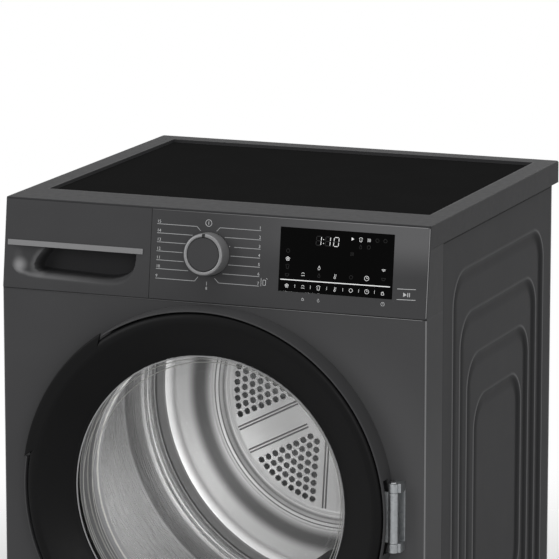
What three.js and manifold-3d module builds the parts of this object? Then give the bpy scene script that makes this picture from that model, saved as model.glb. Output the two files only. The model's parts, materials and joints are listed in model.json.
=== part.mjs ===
// Heat pump clothes dryer, free-standing, with a round door and a water tank drawer.
// Millimetres, +X to the right, the front faces -Y, +Z up.
// The origin is the centre of the footprint, on the floor.
import * as THREE from 'three';
import { mergeVertices } from 'three/addons/utils/BufferGeometryUtils.js';
import Module from 'manifold-3d';

const wasm = await Module();
wasm.setup();

// ---------------------------------------------------------------------------
// Driving dimensions
// ---------------------------------------------------------------------------

// Overall
const WIDTH = 597;
const HEIGHT = 846;
const CABINET_DEPTH = 535; // front panel face to rear panel face
const DOOR_PROJECTION = 34; // door face ahead of the front panel
const REAR_COVER_DEPTH = 40; // rear cover behind the rear panel
const SHEET = 1.2; // steel sheet
const PLASTIC = 2.5; // wall of moulded covers
const SEAM = 0.6; // visible joint between neighbouring skins
const GAP = 0.3; // clearance between faceted pieces that fit together
const GRID = 1e-3; // rounding of corners before a cut or a join

// Worktop
const WORKTOP_SETBACK = 15; // worktop front edge behind the front panel face
const WORKTOP_OVERHANG = 15.5; // worktop rear edge behind the rear panel
const WORKTOP_THICKNESS = 30.7;
const WORKTOP_DECK = 6;
const WORKTOP_SKIRT = 12;
const INSET_FRONT = 76;
const INSET_REAR = 60;
const INSET_SIDE = 28.6;
const INSET_THICKNESS = 3;
const INSET_DROP = 0.6;

// Cabinet
const SIDE_INSET = 4.5; // side panel face inside the worktop side
const CHEEK_DEPTH = 65; // how far the front skins wrap round the sides
const FLANGE = 14;
const RELIEF_STEP = 2.5; // depth of each pressed terrace of a side panel
const RELIEF_RADIUS = 62;
const RELIEF_COUNT = 4;
const RELIEF_TOP = 84; // first terrace below the top of the dryer
const RELIEF_TOP_PITCH = 62;
const RELIEF_FRONT = 119; // first terrace behind the front panel face
const RELIEF_FRONT_PITCH = 31.5;
const RELIEF_REAR = 39; // first terrace ahead of the rear panel
const RELIEF_REAR_PITCH = 30.5;
const RELIEF_BOTTOM = 96;
const FLOOR_CLEARANCE = 22;
const PLINTH_TOP = 132;

// Control fascia: leans back by FASCIA_LEAN over its height
const FASCIA_LIP = 1.7; // worktop lip over the fascia
const FASCIA_HEIGHT = 117.7;
const FASCIA_LEAN = WORKTOP_SETBACK;
const FASCIA_WALL = 3;
const DRAWER_SPLIT = -87.4; // joint between drawer front and fascia
const DISPLAY_WIDTH = 157.1;
const DISPLAY_SIDE = 47.8; // display edge inside the worktop side
const DISPLAY_TOP = 12;
const DISPLAY_BOTTOM = 95.6;
const BOARD_DEPTH = 14; // control board behind the fascia face
const BOARD_THICKNESS = 1.6;
const BOARD_MARGIN = 50; // board beyond the knob centre
const BOARD_OVERHANG = 25; // board beyond the display
const BOARD_TOP = 34; // board edge below the fascia top, clear of the worktop
const BOARD_POST_RADIUS = 3;
const BEAM = 5; // cross members of the drawer opening

// Programme knob, measured on the fascia face
const KNOB_X = -5;
const KNOB_DOWN = 54.5;
const KNOB_RADIUS = 28.4;
const KNOB_FRONT_RADIUS = 27.5;
const KNOB_DISC_RADIUS = 22.2;
const KNOB_HEIGHT = 22;
const KNOB_EDGE = 1.2; // bevel round the front of the ring
const KNOB_DISC_DROP = 1; // disc face behind the ring face
const KNOB_STEM_RADIUS = 3.5;
const KNOB_SKIRT = 2; // knob edge behind the fascia face
const ENCODER_HALF = 14;

// Water tank drawer
const DRAWER_CHEEK = 29; // drawer front wraps the left side by this much
const POCKET_SIDE = 10.5; // handle pocket inside the worktop side
const POCKET_INSET = 20.6; // handle pocket to the drawer joint
const POCKET_TOP = 54;
const POCKET_MOUTH = 62;
const POCKET_BOTTOM = 104;
const POCKET_DEPTH = 34;
const TRIM_SIDE = 5.8;
const TRIM_INSET = 10.7;
const TRIM_TOP = 54.4;
const TRIM_BOTTOM = 61.8;
const TRIM_THICKNESS = 1.2;
const TANK_SPARE = 95; // tank shorter than the cabinet
const TANK_WIDTH = 158;
const TANK_STEP_WIDTH = 35; // shallow part of the tank over the drum
const TANK_STEP_HEIGHT = 21;
const TANK_LIFT = 6.4; // underside of the tank above the fascia's lower edge
const TANK_HEADROOM = 9.3; // tank to the worktop
const TANK_WALL = 2.2;
const TANK_FILL_RADIUS = 16;
const TANK_GRIP = 34;
const TANK_GRIP_SIDE = 30;
const TANK_GRIP_FRONT = 20;
const TANK_LID = 2;

// Door
const DOOR_SIDE = 41.5; // door edge inside the worktop side
const DOOR_END = 40.3; // half the height of the front panel beyond the door radius
const DOOR_RISE = 37.7; // door axis above the middle of the front panel
const DOOR_TAPER = 5; // front edge of the door ring inside its base
const DOOR_WALL = 2.8;
const DOOR_CLEARANCE = 1; // door ring to front panel
const BEZEL_RIM = 17; // crest of the bezel inside the door's base radius
const BEZEL_FLAT = 2;
const BEZEL_WALL = 2.6;
const BEZEL_LIP = 6; // bezel overlap on the glass flange
const BEZEL_BEVEL = 3;
const DOOR_FRAME_WALL = 2.2;
const WINDOW_INSET = 66.4; // window edge inside the door's base radius
const WINDOW_DEPTH = 6.5; // window edge ahead of the front panel face
const GLASS_WALL = 4;
const GLASS_FLANGE = 2.5;
const BOWL_DEPTH = 53; // bowl bottom behind the front panel face
const BOWL_TAPER = 40.6; // flat of the bowl inside the window radius
const BOWL_ROUND = 14; // radius of the bowl's lower edge
const BOWL_THROAT = 3; // bowl mouth inside the window edge
const BOWL_DISH = 3;
const MOUTH_MARGIN = 9.4; // loading opening beyond the window radius
const SEAL_MARGIN = 6;
const SEAL_WALL = 8;
const SEAL_FRONT = 17; // seal face behind the front panel face
const OPENING_MARGIN = 6; // front panel opening beyond the seal
const GRIP_PROUD = 1; // grip beyond the door's base radius
const GRIP_FROM = 125; // degrees from +X towards +Z
const GRIP_TO = 170;
const GRIP_POCKET_WIDTH = 25.5;
const HINGE_OFFSET = 5; // hinge axis beyond the door's base radius
const HINGE_DEPTH = 19; // hinge axis ahead of the front panel face
const HINGE_PIN_RADIUS = 3;
const HINGE_BARREL_RADIUS = 6.5;
const HINGE_BARREL_HEIGHT = 67;
const HINGE_LUG = 12;
const HINGE_ROOM = 8.5; // round the hinge axis, clear of the door
const HINGE_SLOT = 20; // slot for the hinge arm in the door ring
const HINGE_FOOT = 10; // bracket foot beyond the hinge axis
const HINGE_HEEL = 4;
const HINGE_PLATE = 2;
const HINGE_PIN_HEAD = 1.5;
const HINGE_ARM = 4;
const HINGE_ARM_LENGTH = 36;
const HINGE_ARM_FOOT = 10;
const CATCH_INSET = 25; // catch inside the door's base radius
const CATCH_HALF = 6;
const CATCH_REACH = 16;
const CATCH_TOE = 3;
const CATCH_SLOT_HALF = 10;
const CATCH_SLOT_HEIGHT = 22;

// Drum
const DRUM_RISE = 30; // drum axis above the door axis
const DRUM_SIDE_ROOM = 22.5; // drum to the worktop side
const DRUM_FLOOR_ROOM = 71; // drum to the base module
const DRUM_WALL = 1.2;
const DRUM_FRONT = 100; // behind the front panel face
const DRUM_REAR_ROOM = 43; // drum back to the rear panel
const DRUM_BACK_THICKNESS = 2;
const DRUM_BEAD_INSET = 94; // bead of the back inside the drum radius
const DRUM_BEAD_WIDTH = 14;
const DRUM_BEAD_SLOPE = 5;
const DRUM_BEAD_HEIGHT = 10;
const DRUM_RIM = 12;
const DRUM_SIDES = 48;
const SHAFT_RADIUS = 10;
const SHAFT_FLANGE_RADIUS = 45;
const SHAFT_FLANGE = 5;
const SHAFT_REACH = 12; // shaft end behind the rear panel
const LIFTER_COUNT = 3;
const LIFTER_FIRST_ANGLE = 30;
const LIFTER_WIDTH = 60;
const LIFTER_HEIGHT = 55;
const LIFTER_TOP_WIDTH = 22;
const LIFTER_END_MARGIN = 26;
const BULKHEAD_FRONT = 21;
const BULKHEAD_PLATE = 91; // front of the bulkhead plate
const BULKHEAD_THICKNESS = 4;
const BULKHEAD_ROOM = 4.6; // bulkhead to the fascia's lower edge
const RIDE_INSET = 10; // bulkhead collar inside the drum radius
const RIDE_WALL = 4;
const RIDE_LENGTH = 20;
const SEAL_OFFSET = 9;
const SEAL_WIDTH = 8;
const ROLLER_RADIUS = 20;
const ROLLER_WIDTH = 16;
const ROLLER_ANGLE = 30; // to each side of straight down
const ROLLER_AXLE_RADIUS = 5;
const ROLLER_STANDOFF = 6;
const ROLLER_CAP = 3;

// Lint filter
const FILTER_SPREAD = 30; // filter width beyond the mouth radius
const FILTER_FRONT = 61;
const FILTER_THICKNESS = 26;
const FILTER_RISE = 13; // filter top above the lowest point of the mouth
const FILTER_HEIGHT = 100;
const FILTER_WALL = 2.5;
const FILTER_WINDOWS = 4;
const FILTER_BAR = 8;
const FILTER_SILL = 14;
const FILTER_HEADER = 26;
const FILTER_GRIP = 80;
const FILTER_GRIP_HEIGHT = 12;
const FILTER_DUCT_RISE = 37; // top of the duct block above the filter

// Base module
const TRAY_FRONT = 30;
const TRAY_TOP = 150;
const TRAY_FLOOR = 4;
const TRAY_WALL = 3;
const FLAP_SIDE = 20.5;
const FLAP_RIGHT = -38;
const FLAP_BOTTOM = 34;
const FLAP_TOP = 124;
const FLAP_THICKNESS = 6;
const FLAP_PIN_RADIUS = 2.5;
const FLAP_SWING = 2.4; // clearance under the flap for its lower edge to turn
const FLAP_EAR = 4;
const GRILLE_SLOT = 8;
const GRILLE_PITCH = 18;
const GRILLE_MARGIN = 16;
const GRILLE_START = 60; // grille beyond the flap
const GRILLE_SIDE = 40; // grille inside the worktop side
const PLINTH_LUG = 16;
const FOOT_SIDE = 43.5;
const FOOT_FRONT = 60;
const FOOT_REAR = 60;
const FOOT_PAD_RADIUS = 20;
const FOOT_PAD_HEIGHT = 10;
const FOOT_STEM_RADIUS = 6;
const FOOT_STEM_TOP = 52;
const FOOT_BOSS_RADIUS = 12;
const FOOT_BOSS_ROOF = 4;
const COIL_SIDE = 12; // coils inside the tray wall
const COIL_RIGHT = -70;
const COIL_HEIGHT = 116;
const EVAPORATOR_FRONT = 76;
const EVAPORATOR_DEPTH = 118;
const CONDENSER_FRONT = 204;
const CONDENSER_DEPTH = 146;
const COIL_FINS = 9;
const COIL_FIN_THICKNESS = 4;
const COIL_CORE = 70;
const COIL_FIN_PROUD = 6;
const COMPRESSOR_SIDE = 128.5; // axis inside the worktop side
const COMPRESSOR_REAR = 87; // axis ahead of the rear panel
const COMPRESSOR_RADIUS = 60;
const COMPRESSOR_HEIGHT = 160;
const COMPRESSOR_FOOT = 6;
const COMPRESSOR_SHOULDER = 26;
const COMPRESSOR_DOME = 8;
const COMPRESSOR_CHAMFER = 10;
const COMPRESSOR_CROWN_RADIUS = 18;
const PUMP_SIDE = 83.5;
const PUMP_REAR = 65;
const PUMP_RADIUS = 26;
const PUMP_HEIGHT = 60;
const PUMP_SPOUT_RADIUS = 7;
const PUMP_SPOUT = 14;

// Drive
const MOTOR_SIDE = 108.5; // motor axis inside the worktop side
const MOTOR_Z = 110;
const MOTOR_RADIUS = 50;
const MOTOR_FRONT = 185;
const MOTOR_TO_BELT = 23;
const MOTOR_END_TAPER = 12;
const MOTOR_END_DEPTH = 16;
const MOTOR_CRADLE = 20;
const MOTOR_CRADLE_HALF = 30;
const MOTOR_SHAFT_RADIUS = 6;
const PULLEY_RADIUS = 9.5;
const PULLEY_LIP = 5;
const PULLEY_LIP_WIDTH = 2;
const BELT_REAR = 182; // belt ahead of the rear panel
const BELT_WIDTH = 14;
const BELT_THICKNESS = 2.4;
const BELT_SEGMENTS = 18;
const IDLER_RADIUS = 18;
const IDLER_PIN_RADIUS = 4;
const IDLER_PIVOT_X = -30;
const IDLER_PIVOT_Z = 110;
const IDLER_ARM_THICKNESS = 4;
const IDLER_ARM_HALF = 8;
const IDLER_POST = 10;
const IDLER_ROOM = 2; // idler arm behind the belt
const FAN_FRONT = 97;
const FAN_HOUSING_DEPTH = 60;
const FAN_HOUSING_HALF = 84;
const FAN_HOUSING_WALL = 3;
const FAN_RADIUS = 68;
const FAN_BLADES = 12;
const FAN_BLADE_DEPTH = 34;
const FAN_INLET_RADIUS = 40;
const FAN_TIP_ROOM = 6;
const FAN_END_ROOM = 4;
const FAN_HUB = 6;
const FAN_DISC = 2;

// Rear
const BRACKET_WIDTH = 300;
const BRACKET_HEIGHT = 70;
const BRACKET_THICKNESS = 8;
const BUSH_RADIUS = 20;
const REAR_COVER_SIDE = 83.5; // rear cover inside the worktop side
const REAR_COVER_BOTTOM = 240;
const REAR_COVER_DROP = 75.3; // rear cover below the worktop
const REAR_COVER_CORNER = 60;
const GLAND_OUT = 30; // cord gland beyond the rear cover
const GLAND_DROP = 99.3; // cord gland below the worktop
const GLAND_RADIUS = 16;
const GLAND_DEPTH = 18;
const GLAND_NECK_RADIUS = 11;
const GLAND_BORE = 5;
const GLAND_GRIP = 4; // gland neck inside the rear panel

// ---------------------------------------------------------------------------
// Derived places
// ---------------------------------------------------------------------------

const HALF = WIDTH / 2;
const DEPTH = DOOR_PROJECTION + CABINET_DEPTH + REAR_COVER_DEPTH;
const FRONT = -DEPTH / 2 + DOOR_PROJECTION;
const REAR = FRONT + CABINET_DEPTH;
const SIDE_FACE = HALF - SIDE_INSET;
const SIDE_INNER = SIDE_FACE - SHEET;
const WORKTOP_FRONT = FRONT + WORKTOP_SETBACK;
const WORKTOP_REAR = REAR + WORKTOP_OVERHANG;
const WORKTOP_BOTTOM = HEIGHT - WORKTOP_THICKNESS;
const FASCIA_TOP = HEIGHT - FASCIA_LIP;
const FASCIA_BOTTOM = FASCIA_TOP - FASCIA_HEIGHT;
const FASCIA_SLOPE = Math.hypot(FASCIA_HEIGHT, FASCIA_LEAN);
const FASCIA_TILT = -Math.atan2(FASCIA_LEAN, FASCIA_HEIGHT);
const FASCIA_SETBACK = FASCIA_WALL + GAP; // worktop face behind the fascia top
const CHEEK_REAR = FRONT + CHEEK_DEPTH;
const DISPLAY_RIGHT = HALF - DISPLAY_SIDE;
const DISPLAY_LEFT = DISPLAY_RIGHT - DISPLAY_WIDTH;
const POCKET_LEFT = -HALF + POCKET_SIDE;
const POCKET_RIGHT = DRAWER_SPLIT - POCKET_INSET;
const TRIM_LEFT = -HALF + TRIM_SIDE;
const TRIM_RIGHT = DRAWER_SPLIT - TRIM_INSET;
// The door is as large as the width and the height of the front panel allow.
const DOOR_BASE_RADIUS = Math.min(HALF - DOOR_SIDE, (FASCIA_BOTTOM - PLINTH_TOP) / 2 - DOOR_END);
const DOOR_Z = (FASCIA_BOTTOM + PLINTH_TOP) / 2 + DOOR_RISE;
const DOOR_FRONT_RADIUS = DOOR_BASE_RADIUS - DOOR_TAPER;
const BEZEL_CREST_RADIUS = DOOR_BASE_RADIUS - BEZEL_RIM;
const WINDOW_RADIUS = DOOR_BASE_RADIUS - WINDOW_INSET;
const BOWL_RADIUS = WINDOW_RADIUS - BOWL_TAPER;
const MOUTH_RADIUS = WINDOW_RADIUS + MOUTH_MARGIN;
const SEAL_RADIUS = MOUTH_RADIUS + SEAL_MARGIN;
const PANEL_OPENING_RADIUS = SEAL_RADIUS + OPENING_MARGIN;
const GRIP_RADIUS = DOOR_BASE_RADIUS + GRIP_PROUD;
const GRIP_POCKET_RADIUS = DOOR_BASE_RADIUS - GRIP_POCKET_WIDTH;
const HINGE_X = DOOR_BASE_RADIUS + HINGE_OFFSET;
const HINGE_Y = FRONT - HINGE_DEPTH;
const HINGE_ARM_END = HINGE_X - HINGE_ARM_LENGTH;
const CATCH_X = -(DOOR_BASE_RADIUS - CATCH_INSET);
const BULKHEAD_BACK = BULKHEAD_PLATE + BULKHEAD_THICKNESS;
const BULKHEAD_TOP = FASCIA_BOTTOM - BULKHEAD_ROOM;
// The drum is as large as the side walls and the base module allow.
const DRUM_Z = DOOR_Z + DRUM_RISE;
const DRUM_RADIUS = Math.min(HALF - DRUM_SIDE_ROOM, DRUM_Z - TRAY_TOP - DRUM_FLOOR_ROOM);
const DRUM_INNER = DRUM_RADIUS - DRUM_WALL;
const DRUM_BACK = CABINET_DEPTH - DRUM_REAR_ROOM;
const DRUM_BEAD_RADIUS = DRUM_RADIUS - DRUM_BEAD_INSET;
const RIDE_RADIUS = DRUM_RADIUS - RIDE_INSET;
const SHAFT_END = CABINET_DEPTH + SHAFT_REACH;
const FILTER_WIDTH = MOUTH_RADIUS + FILTER_SPREAD;
const FILTER_TOP = DOOR_Z - MOUTH_RADIUS + FILTER_RISE;
const FILTER_BOTTOM = FILTER_TOP - FILTER_HEIGHT;
const TANK_FLOOR = FASCIA_BOTTOM + TANK_LIFT;
const TANK_TOP = WORKTOP_BOTTOM - TANK_HEADROOM;
const TANK_LENGTH = CABINET_DEPTH - TANK_SPARE;
const TANK_HOUSING_LEFT = -(SIDE_INNER - RELIEF_STEP - GAP);
const TANK_LEFT = TANK_HOUSING_LEFT + PLASTIC + GAP;
// The tank starts where the upper back edge of the handle pocket ends.
const TANK_FRONT = GAP + (POCKET_DEPTH + PLASTIC) * Math.cos(FASCIA_TILT)
  + (POCKET_TOP - PLASTIC) * Math.sin(FASCIA_TILT);
const TRAY_HALF = SIDE_FACE - FLANGE;
const FLAP_LEFT = -HALF + FLAP_SIDE;
const FOOT_X = HALF - FOOT_SIDE;
const COIL_LEFT = -TRAY_HALF + COIL_SIDE;
const COMPRESSOR_X = HALF - COMPRESSOR_SIDE;
const COMPRESSOR_DEPTH_AT = CABINET_DEPTH - COMPRESSOR_REAR;
const PUMP_X = -HALF + PUMP_SIDE;
const PUMP_DEPTH_AT = CABINET_DEPTH - PUMP_REAR;
const BELT_FRONT = CABINET_DEPTH - BELT_REAR;
const MOTOR_X = HALF - MOTOR_SIDE;
const MOTOR_REAR = BELT_FRONT - MOTOR_TO_BELT;
const REAR_COVER_HALF = HALF - REAR_COVER_SIDE;
const REAR_COVER_TOP = WORKTOP_BOTTOM - REAR_COVER_DROP;
const GLAND_X = REAR_COVER_HALF + GLAND_OUT;
const GLAND_Z = WORKTOP_BOTTOM - GLAND_DROP;
const IDLER_ARM_FRONT = BELT_FRONT + BELT_WIDTH + IDLER_ROOM;
const IDLER_POST_FRONT = IDLER_ARM_FRONT + IDLER_ARM_THICKNESS + GAP;

// ---------------------------------------------------------------------------
// Shapes and solids
// ---------------------------------------------------------------------------

const degrees = THREE.MathUtils.degToRad;

// Corners are rounded to GRID, so that faces meant to be flush are exactly flush.
function asManifold(geometry) {
  const bare = new THREE.BufferGeometry();
  const rounded = geometry.getAttribute('position').array.map((v) => Math.round(v / GRID) * GRID);
  bare.setAttribute('position', new THREE.BufferAttribute(rounded, 3));
  bare.setIndex(geometry.getIndex()?.clone() ?? null);
  const merged = mergeVertices(bare, 1e-4);
  const points = merged.getAttribute('position').array;
  const corners = [];
  const index = merged.getIndex().array;
  let volume = 0;
  const [a, b, c] = [new THREE.Vector3(), new THREE.Vector3(), new THREE.Vector3()];
  for (let i = 0; i < index.length; i += 3) {
    const [p, q, r] = [index[i], index[i + 1], index[i + 2]];
    if (p === q || q === r || r === p) continue;
    corners.push(p, q, r);
    volume += a.fromArray(points, 3 * p).dot(b.fromArray(points, 3 * q).cross(c.fromArray(points, 3 * r)));
  }
  if (volume < 0) corners.reverse();
  return new wasm.Manifold(new wasm.Mesh({
    numProp: 3,
    vertProperties: new Float32Array(points),
    triVerts: new Uint32Array(corners),
  }));
}

function asGeometry(solid) {
  const mesh = solid.getMesh();
  const geometry = new THREE.BufferGeometry();
  geometry.setAttribute('position', new THREE.BufferAttribute(mesh.vertProperties, 3));
  geometry.setIndex(new THREE.BufferAttribute(mesh.triVerts, 1));
  return geometry;
}

function join(first, ...others) {
  return asGeometry(others.reduce((sum, next) => sum.add(asManifold(next)), asManifold(first)));
}

function cut(first, ...tools) {
  return asGeometry(tools.reduce((rest, tool) => rest.subtract(asManifold(tool)), asManifold(first)));
}

// A box between two values on each axis.
function block([x0, x1], [y0, y1], [z0, z1]) {
  return new THREE.BoxGeometry(x1 - x0, y1 - y0, z1 - z0)
    .translate((x0 + x1) / 2, (y0 + y1) / 2, (z0 + z1) / 2);
}

// A solid of revolution about a line along Y through x, z; the profile is [radius, y] pairs.
function turned(profile, { x = 0, z = 0, sides = 32 } = {}) {
  const points = profile.map(([r, y]) => new THREE.Vector2(r, y));
  if (THREE.ShapeUtils.area(points) < 0) points.reverse();
  return new THREE.LatheGeometry([...points, points[0]], sides).translate(x, 0, z);
}

// A full cylinder along Y.
function rod(radius, [y0, y1], { x = 0, z = 0, sides = 24 } = {}) {
  return new THREE.CylinderGeometry(radius, radius, y1 - y0, sides)
    .translate(x, (y0 + y1) / 2, z);
}

// A full cylinder standing along Z.
function post(radius, [z0, z1], { x = 0, y = 0, sides = 24 } = {}) {
  return new THREE.CylinderGeometry(radius, radius, z1 - z0, sides)
    .rotateX(Math.PI / 2)
    .translate(x, y, (z0 + z1) / 2);
}

// A hollow ring along Y.
function tube(inner, outer, [y0, y1], place) {
  return turned([[inner, y0], [outer, y0], [outer, y1], [inner, y1]], place);
}

// The corner radius of a faceted bore whose flats clear the given radius.
function boreRadius(radius, sides = 24) {
  return (radius + GAP) / Math.cos(Math.PI / sides);
}

// An outline in X and Z, given as a shape, pushed along Y.
function pushedY(shape, [y0, y1], curveSegments = 6) {
  return new THREE.ExtrudeGeometry(shape, { depth: y1 - y0, bevelEnabled: false, curveSegments })
    .rotateX(Math.PI / 2)
    .translate(0, y1, 0);
}

// An outline in Y and Z, given as a shape, pushed along X.
function pushedX(shape, [x0, x1], curveSegments = 2) {
  return new THREE.ExtrudeGeometry(shape, { depth: x1 - x0, bevelEnabled: false, curveSegments })
    .applyMatrix4(new THREE.Matrix4().set(0, 0, 1, x0, 1, 0, 0, 0, 0, 1, 0, 0, 0, 0, 0, 1));
}

// An outline in X and Y, given as a shape, pushed along Z.
function pushedZ(shape, [z0, z1]) {
  return new THREE.ExtrudeGeometry(shape, { depth: z1 - z0, bevelEnabled: false })
    .translate(0, 0, z0);
}

function polygon(points) {
  return new THREE.Shape(points.map(([a, b]) => new THREE.Vector2(a, b)));
}

function roundedRectangle([a0, a1], [b0, b1], radius) {
  const shape = new THREE.Shape();
  shape.moveTo(a0 + radius, b0);
  shape.lineTo(a1 - radius, b0);
  shape.absarc(a1 - radius, b0 + radius, radius, -Math.PI / 2, 0);
  shape.lineTo(a1, b1 - radius);
  shape.absarc(a1 - radius, b1 - radius, radius, 0, Math.PI / 2);
  shape.lineTo(a0 + radius, b1);
  shape.absarc(a0 + radius, b1 - radius, radius, Math.PI / 2, Math.PI);
  shape.lineTo(a0, b0 + radius);
  shape.absarc(a0 + radius, b0 + radius, radius, Math.PI, 1.5 * Math.PI);
  return shape;
}

// A sector of a ring in X and Z about x = 0, pushed along Y.
function ringSector([inner, outer], [from, to], [y0, y1], z) {
  const shape = new THREE.Shape();
  shape.absarc(0, z, outer, degrees(from), degrees(to), false);
  shape.absarc(0, z, inner, degrees(to), degrees(from), true);
  return pushedY(shape, [y0, y1], 4);
}

// Depths behind the front panel face, as a range along Y.
function behind(d0, d1) {
  return [FRONT + d0, FRONT + d1];
}

// Moves a shape made on the flat fascia face (y = 0 at the face, z = 0 at its top) to its place.
function onSlope(geometry) {
  return geometry.rotateX(FASCIA_TILT).translate(0, WORKTOP_FRONT, FASCIA_TOP);
}

const PAINT = { color: 0x47484a, roughness: 0.45, metalness: 0.3 };
const PLASTIC_GREY = { color: 0x464749, roughness: 0.5, metalness: 0 };
const BLACK_GLOSS = { color: 0x101011, roughness: 0.15, metalness: 0 };
const BLACK_MATTE = { color: 0x1c1c1d, roughness: 0.6, metalness: 0 };
const LIGHT_GREY = { color: 0xa6a7a8, roughness: 0.35, metalness: 0.4 };
const STEEL = { color: 0xb4b5b6, roughness: 0.3, metalness: 0.9 };
const ZINC = { color: 0x9a9c9e, roughness: 0.5, metalness: 0.8 };
const WHITE_PLASTIC = { color: 0xd5d6d4, roughness: 0.5, metalness: 0 };
const RUBBER = { color: 0x202020, roughness: 0.85, metalness: 0 };
const FELT = { color: 0x5b5c5a, roughness: 1, metalness: 0 };
const GLASS = { color: 0x8c9092, roughness: 0.05, metalness: 0 };
const COPPER = { color: 0xb0734e, roughness: 0.4, metalness: 0.8 };

const dryer = new THREE.Group();
const fascia = new THREE.Group();
fascia.position.set(0, WORKTOP_FRONT, FASCIA_TOP);
fascia.rotation.x = FASCIA_TILT;
dryer.add(fascia);

function piece(name, finish, geometry, parent = dryer) {
  const mesh = new THREE.Mesh(geometry, new THREE.MeshStandardMaterial(finish));
  mesh.name = name;
  parent.add(mesh);
  return mesh;
}

// ---------------------------------------------------------------------------
// Worktop
// ---------------------------------------------------------------------------

function addWorktop() {
  const across = [-HALF, HALF];
  const inset = {
    x: [-HALF + INSET_SIDE, HALF - INSET_SIDE],
    y: [WORKTOP_FRONT + INSET_FRONT, WORKTOP_REAR - INSET_REAR],
  };
  const pocketFloor = HEIGHT - INSET_DROP - INSET_THICKNESS;
  const frame = cut(
    block(across, [WORKTOP_FRONT, WORKTOP_REAR], [WORKTOP_BOTTOM, HEIGHT]),
    block(
      [-HALF + WORKTOP_SKIRT, HALF - WORKTOP_SKIRT],
      [WORKTOP_FRONT + WORKTOP_SKIRT, WORKTOP_REAR - WORKTOP_SKIRT],
      [WORKTOP_BOTTOM - 1, HEIGHT - WORKTOP_DECK],
    ),
    block(inset.x, inset.y, [pocketFloor, HEIGHT + 1]),
    block([-HALF - 1, HALF + 1], [WORKTOP_FRONT - 1, WORKTOP_FRONT + FASCIA_SETBACK],
      [WORKTOP_BOTTOM - 1, FASCIA_TOP]),
  );
  piece('worktop_frame', PLASTIC_GREY, frame);
  piece('worktop_panel', BLACK_GLOSS, block(
    [inset.x[0] + GAP, inset.x[1] - GAP],
    [inset.y[0] + GAP, inset.y[1] - GAP],
    [pocketFloor, HEIGHT - INSET_DROP],
  ));
}

// ---------------------------------------------------------------------------
// Cabinet skins
// ---------------------------------------------------------------------------

// Outline of one pressed terrace of a side panel in Y and Z, grown by the sheet where asked.
function reliefOutline(number, grow) {
  const y = [
    FRONT + RELIEF_FRONT + number * RELIEF_FRONT_PITCH - grow,
    REAR - RELIEF_REAR - number * RELIEF_REAR_PITCH + grow,
  ];
  const z = [
    RELIEF_BOTTOM + number * RELIEF_TOP_PITCH - grow,
    HEIGHT - RELIEF_TOP - number * RELIEF_TOP_PITCH + grow,
  ];
  return roundedRectangle(y, z, RELIEF_RADIUS + grow);
}

function sidePanel(side) {
  const out = (x0, x1) => [side * x0, side * x1].sort((a, b) => a - b);
  const y = [CHEEK_REAR, REAR - SHEET];
  const z = [FLOOR_CLEARANCE, WORKTOP_BOTTOM];
  const channel = pushedZ(polygon([
    [SIDE_FACE - FLANGE, y[0]],
    [SIDE_FACE, y[0]],
    [SIDE_FACE, y[1]],
    [SIDE_FACE - FLANGE, y[1]],
    [SIDE_FACE - FLANGE, y[1] - SHEET],
    [SIDE_INNER, y[1] - SHEET],
    [SIDE_INNER, y[0] + SHEET],
    [SIDE_FACE - FLANGE, y[0] + SHEET],
  ].map(([x, at]) => [side * x, at])), z);
  const skins = [];
  const hollows = [];
  for (let number = 0; number < RELIEF_COUNT; number += 1) {
    const depth = (number + 1) * RELIEF_STEP;
    skins.push(pushedX(reliefOutline(number, SHEET), out(SIDE_INNER - depth, SIDE_FACE - SHEET / 2)));
    hollows.push(pushedX(reliefOutline(number, 0), out(SIDE_FACE - depth, SIDE_FACE + 1)));
  }
  const besideTank = block(out(SIDE_FACE - FLANGE - 1, SIDE_INNER - 1),
    [y[0] - 1, y[0] + SHEET + 1], [FASCIA_BOTTOM, z[1] + 1]);
  return cut(join(channel, ...skins), ...hollows, besideTank);
}

function addSidePanels() {
  piece('side_panel_left', PAINT, sidePanel(-1));
  piece('side_panel_right', PAINT, sidePanel(1));
}

// A skin open at the back that wraps round both sides, with an inward return at its rear edge.
function wrapSkin([z0, z1], wall) {
  const outer = block([-HALF, HALF], [FRONT, CHEEK_REAR], [z0, z1]);
  const hollow = block([-HALF + wall, HALF - wall], [FRONT + wall, CHEEK_REAR + 1], [z0 - 1, z1 + 1]);
  const returnRight = block([SIDE_FACE - FLANGE, HALF], [CHEEK_REAR - wall, CHEEK_REAR], [z0, z1]);
  const returnLeft = block([-HALF, -SIDE_FACE + FLANGE], [CHEEK_REAR - wall, CHEEK_REAR], [z0, z1]);
  return join(cut(outer, hollow), returnRight, returnLeft);
}

function addFrontPanel() {
  const z = [PLINTH_TOP, FASCIA_BOTTOM - SEAM];
  const shelf = (z0) => block([-HALF + SHEET, HALF - SHEET], behind(SHEET, FLANGE), [z0, z0 + SHEET]);
  const panel = cut(
    join(wrapSkin(z, SHEET), shelf(z[0]), shelf(z[1] - SHEET)),
    rod(PANEL_OPENING_RADIUS, behind(-1, SHEET + 1), { z: DOOR_Z, sides: 48 }),
    block([CATCH_X - CATCH_SLOT_HALF, CATCH_X + CATCH_SLOT_HALF], behind(-1, SHEET + 1),
      [DOOR_Z - CATCH_SLOT_HEIGHT / 2, DOOR_Z + CATCH_SLOT_HEIGHT / 2]),
  );
  piece('front_panel', PAINT, panel);
}

function alongX(radius, [x0, x1], y, z, sides = 16) {
  return new THREE.CylinderGeometry(radius, radius, x1 - x0, sides)
    .rotateZ(Math.PI / 2)
    .translate((x0 + x1) / 2, y, z);
}

const FLAP_PIVOT = { y: FRONT + FLAP_THICKNESS, z: FLAP_BOTTOM + FLAP_THICKNESS };

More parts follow.
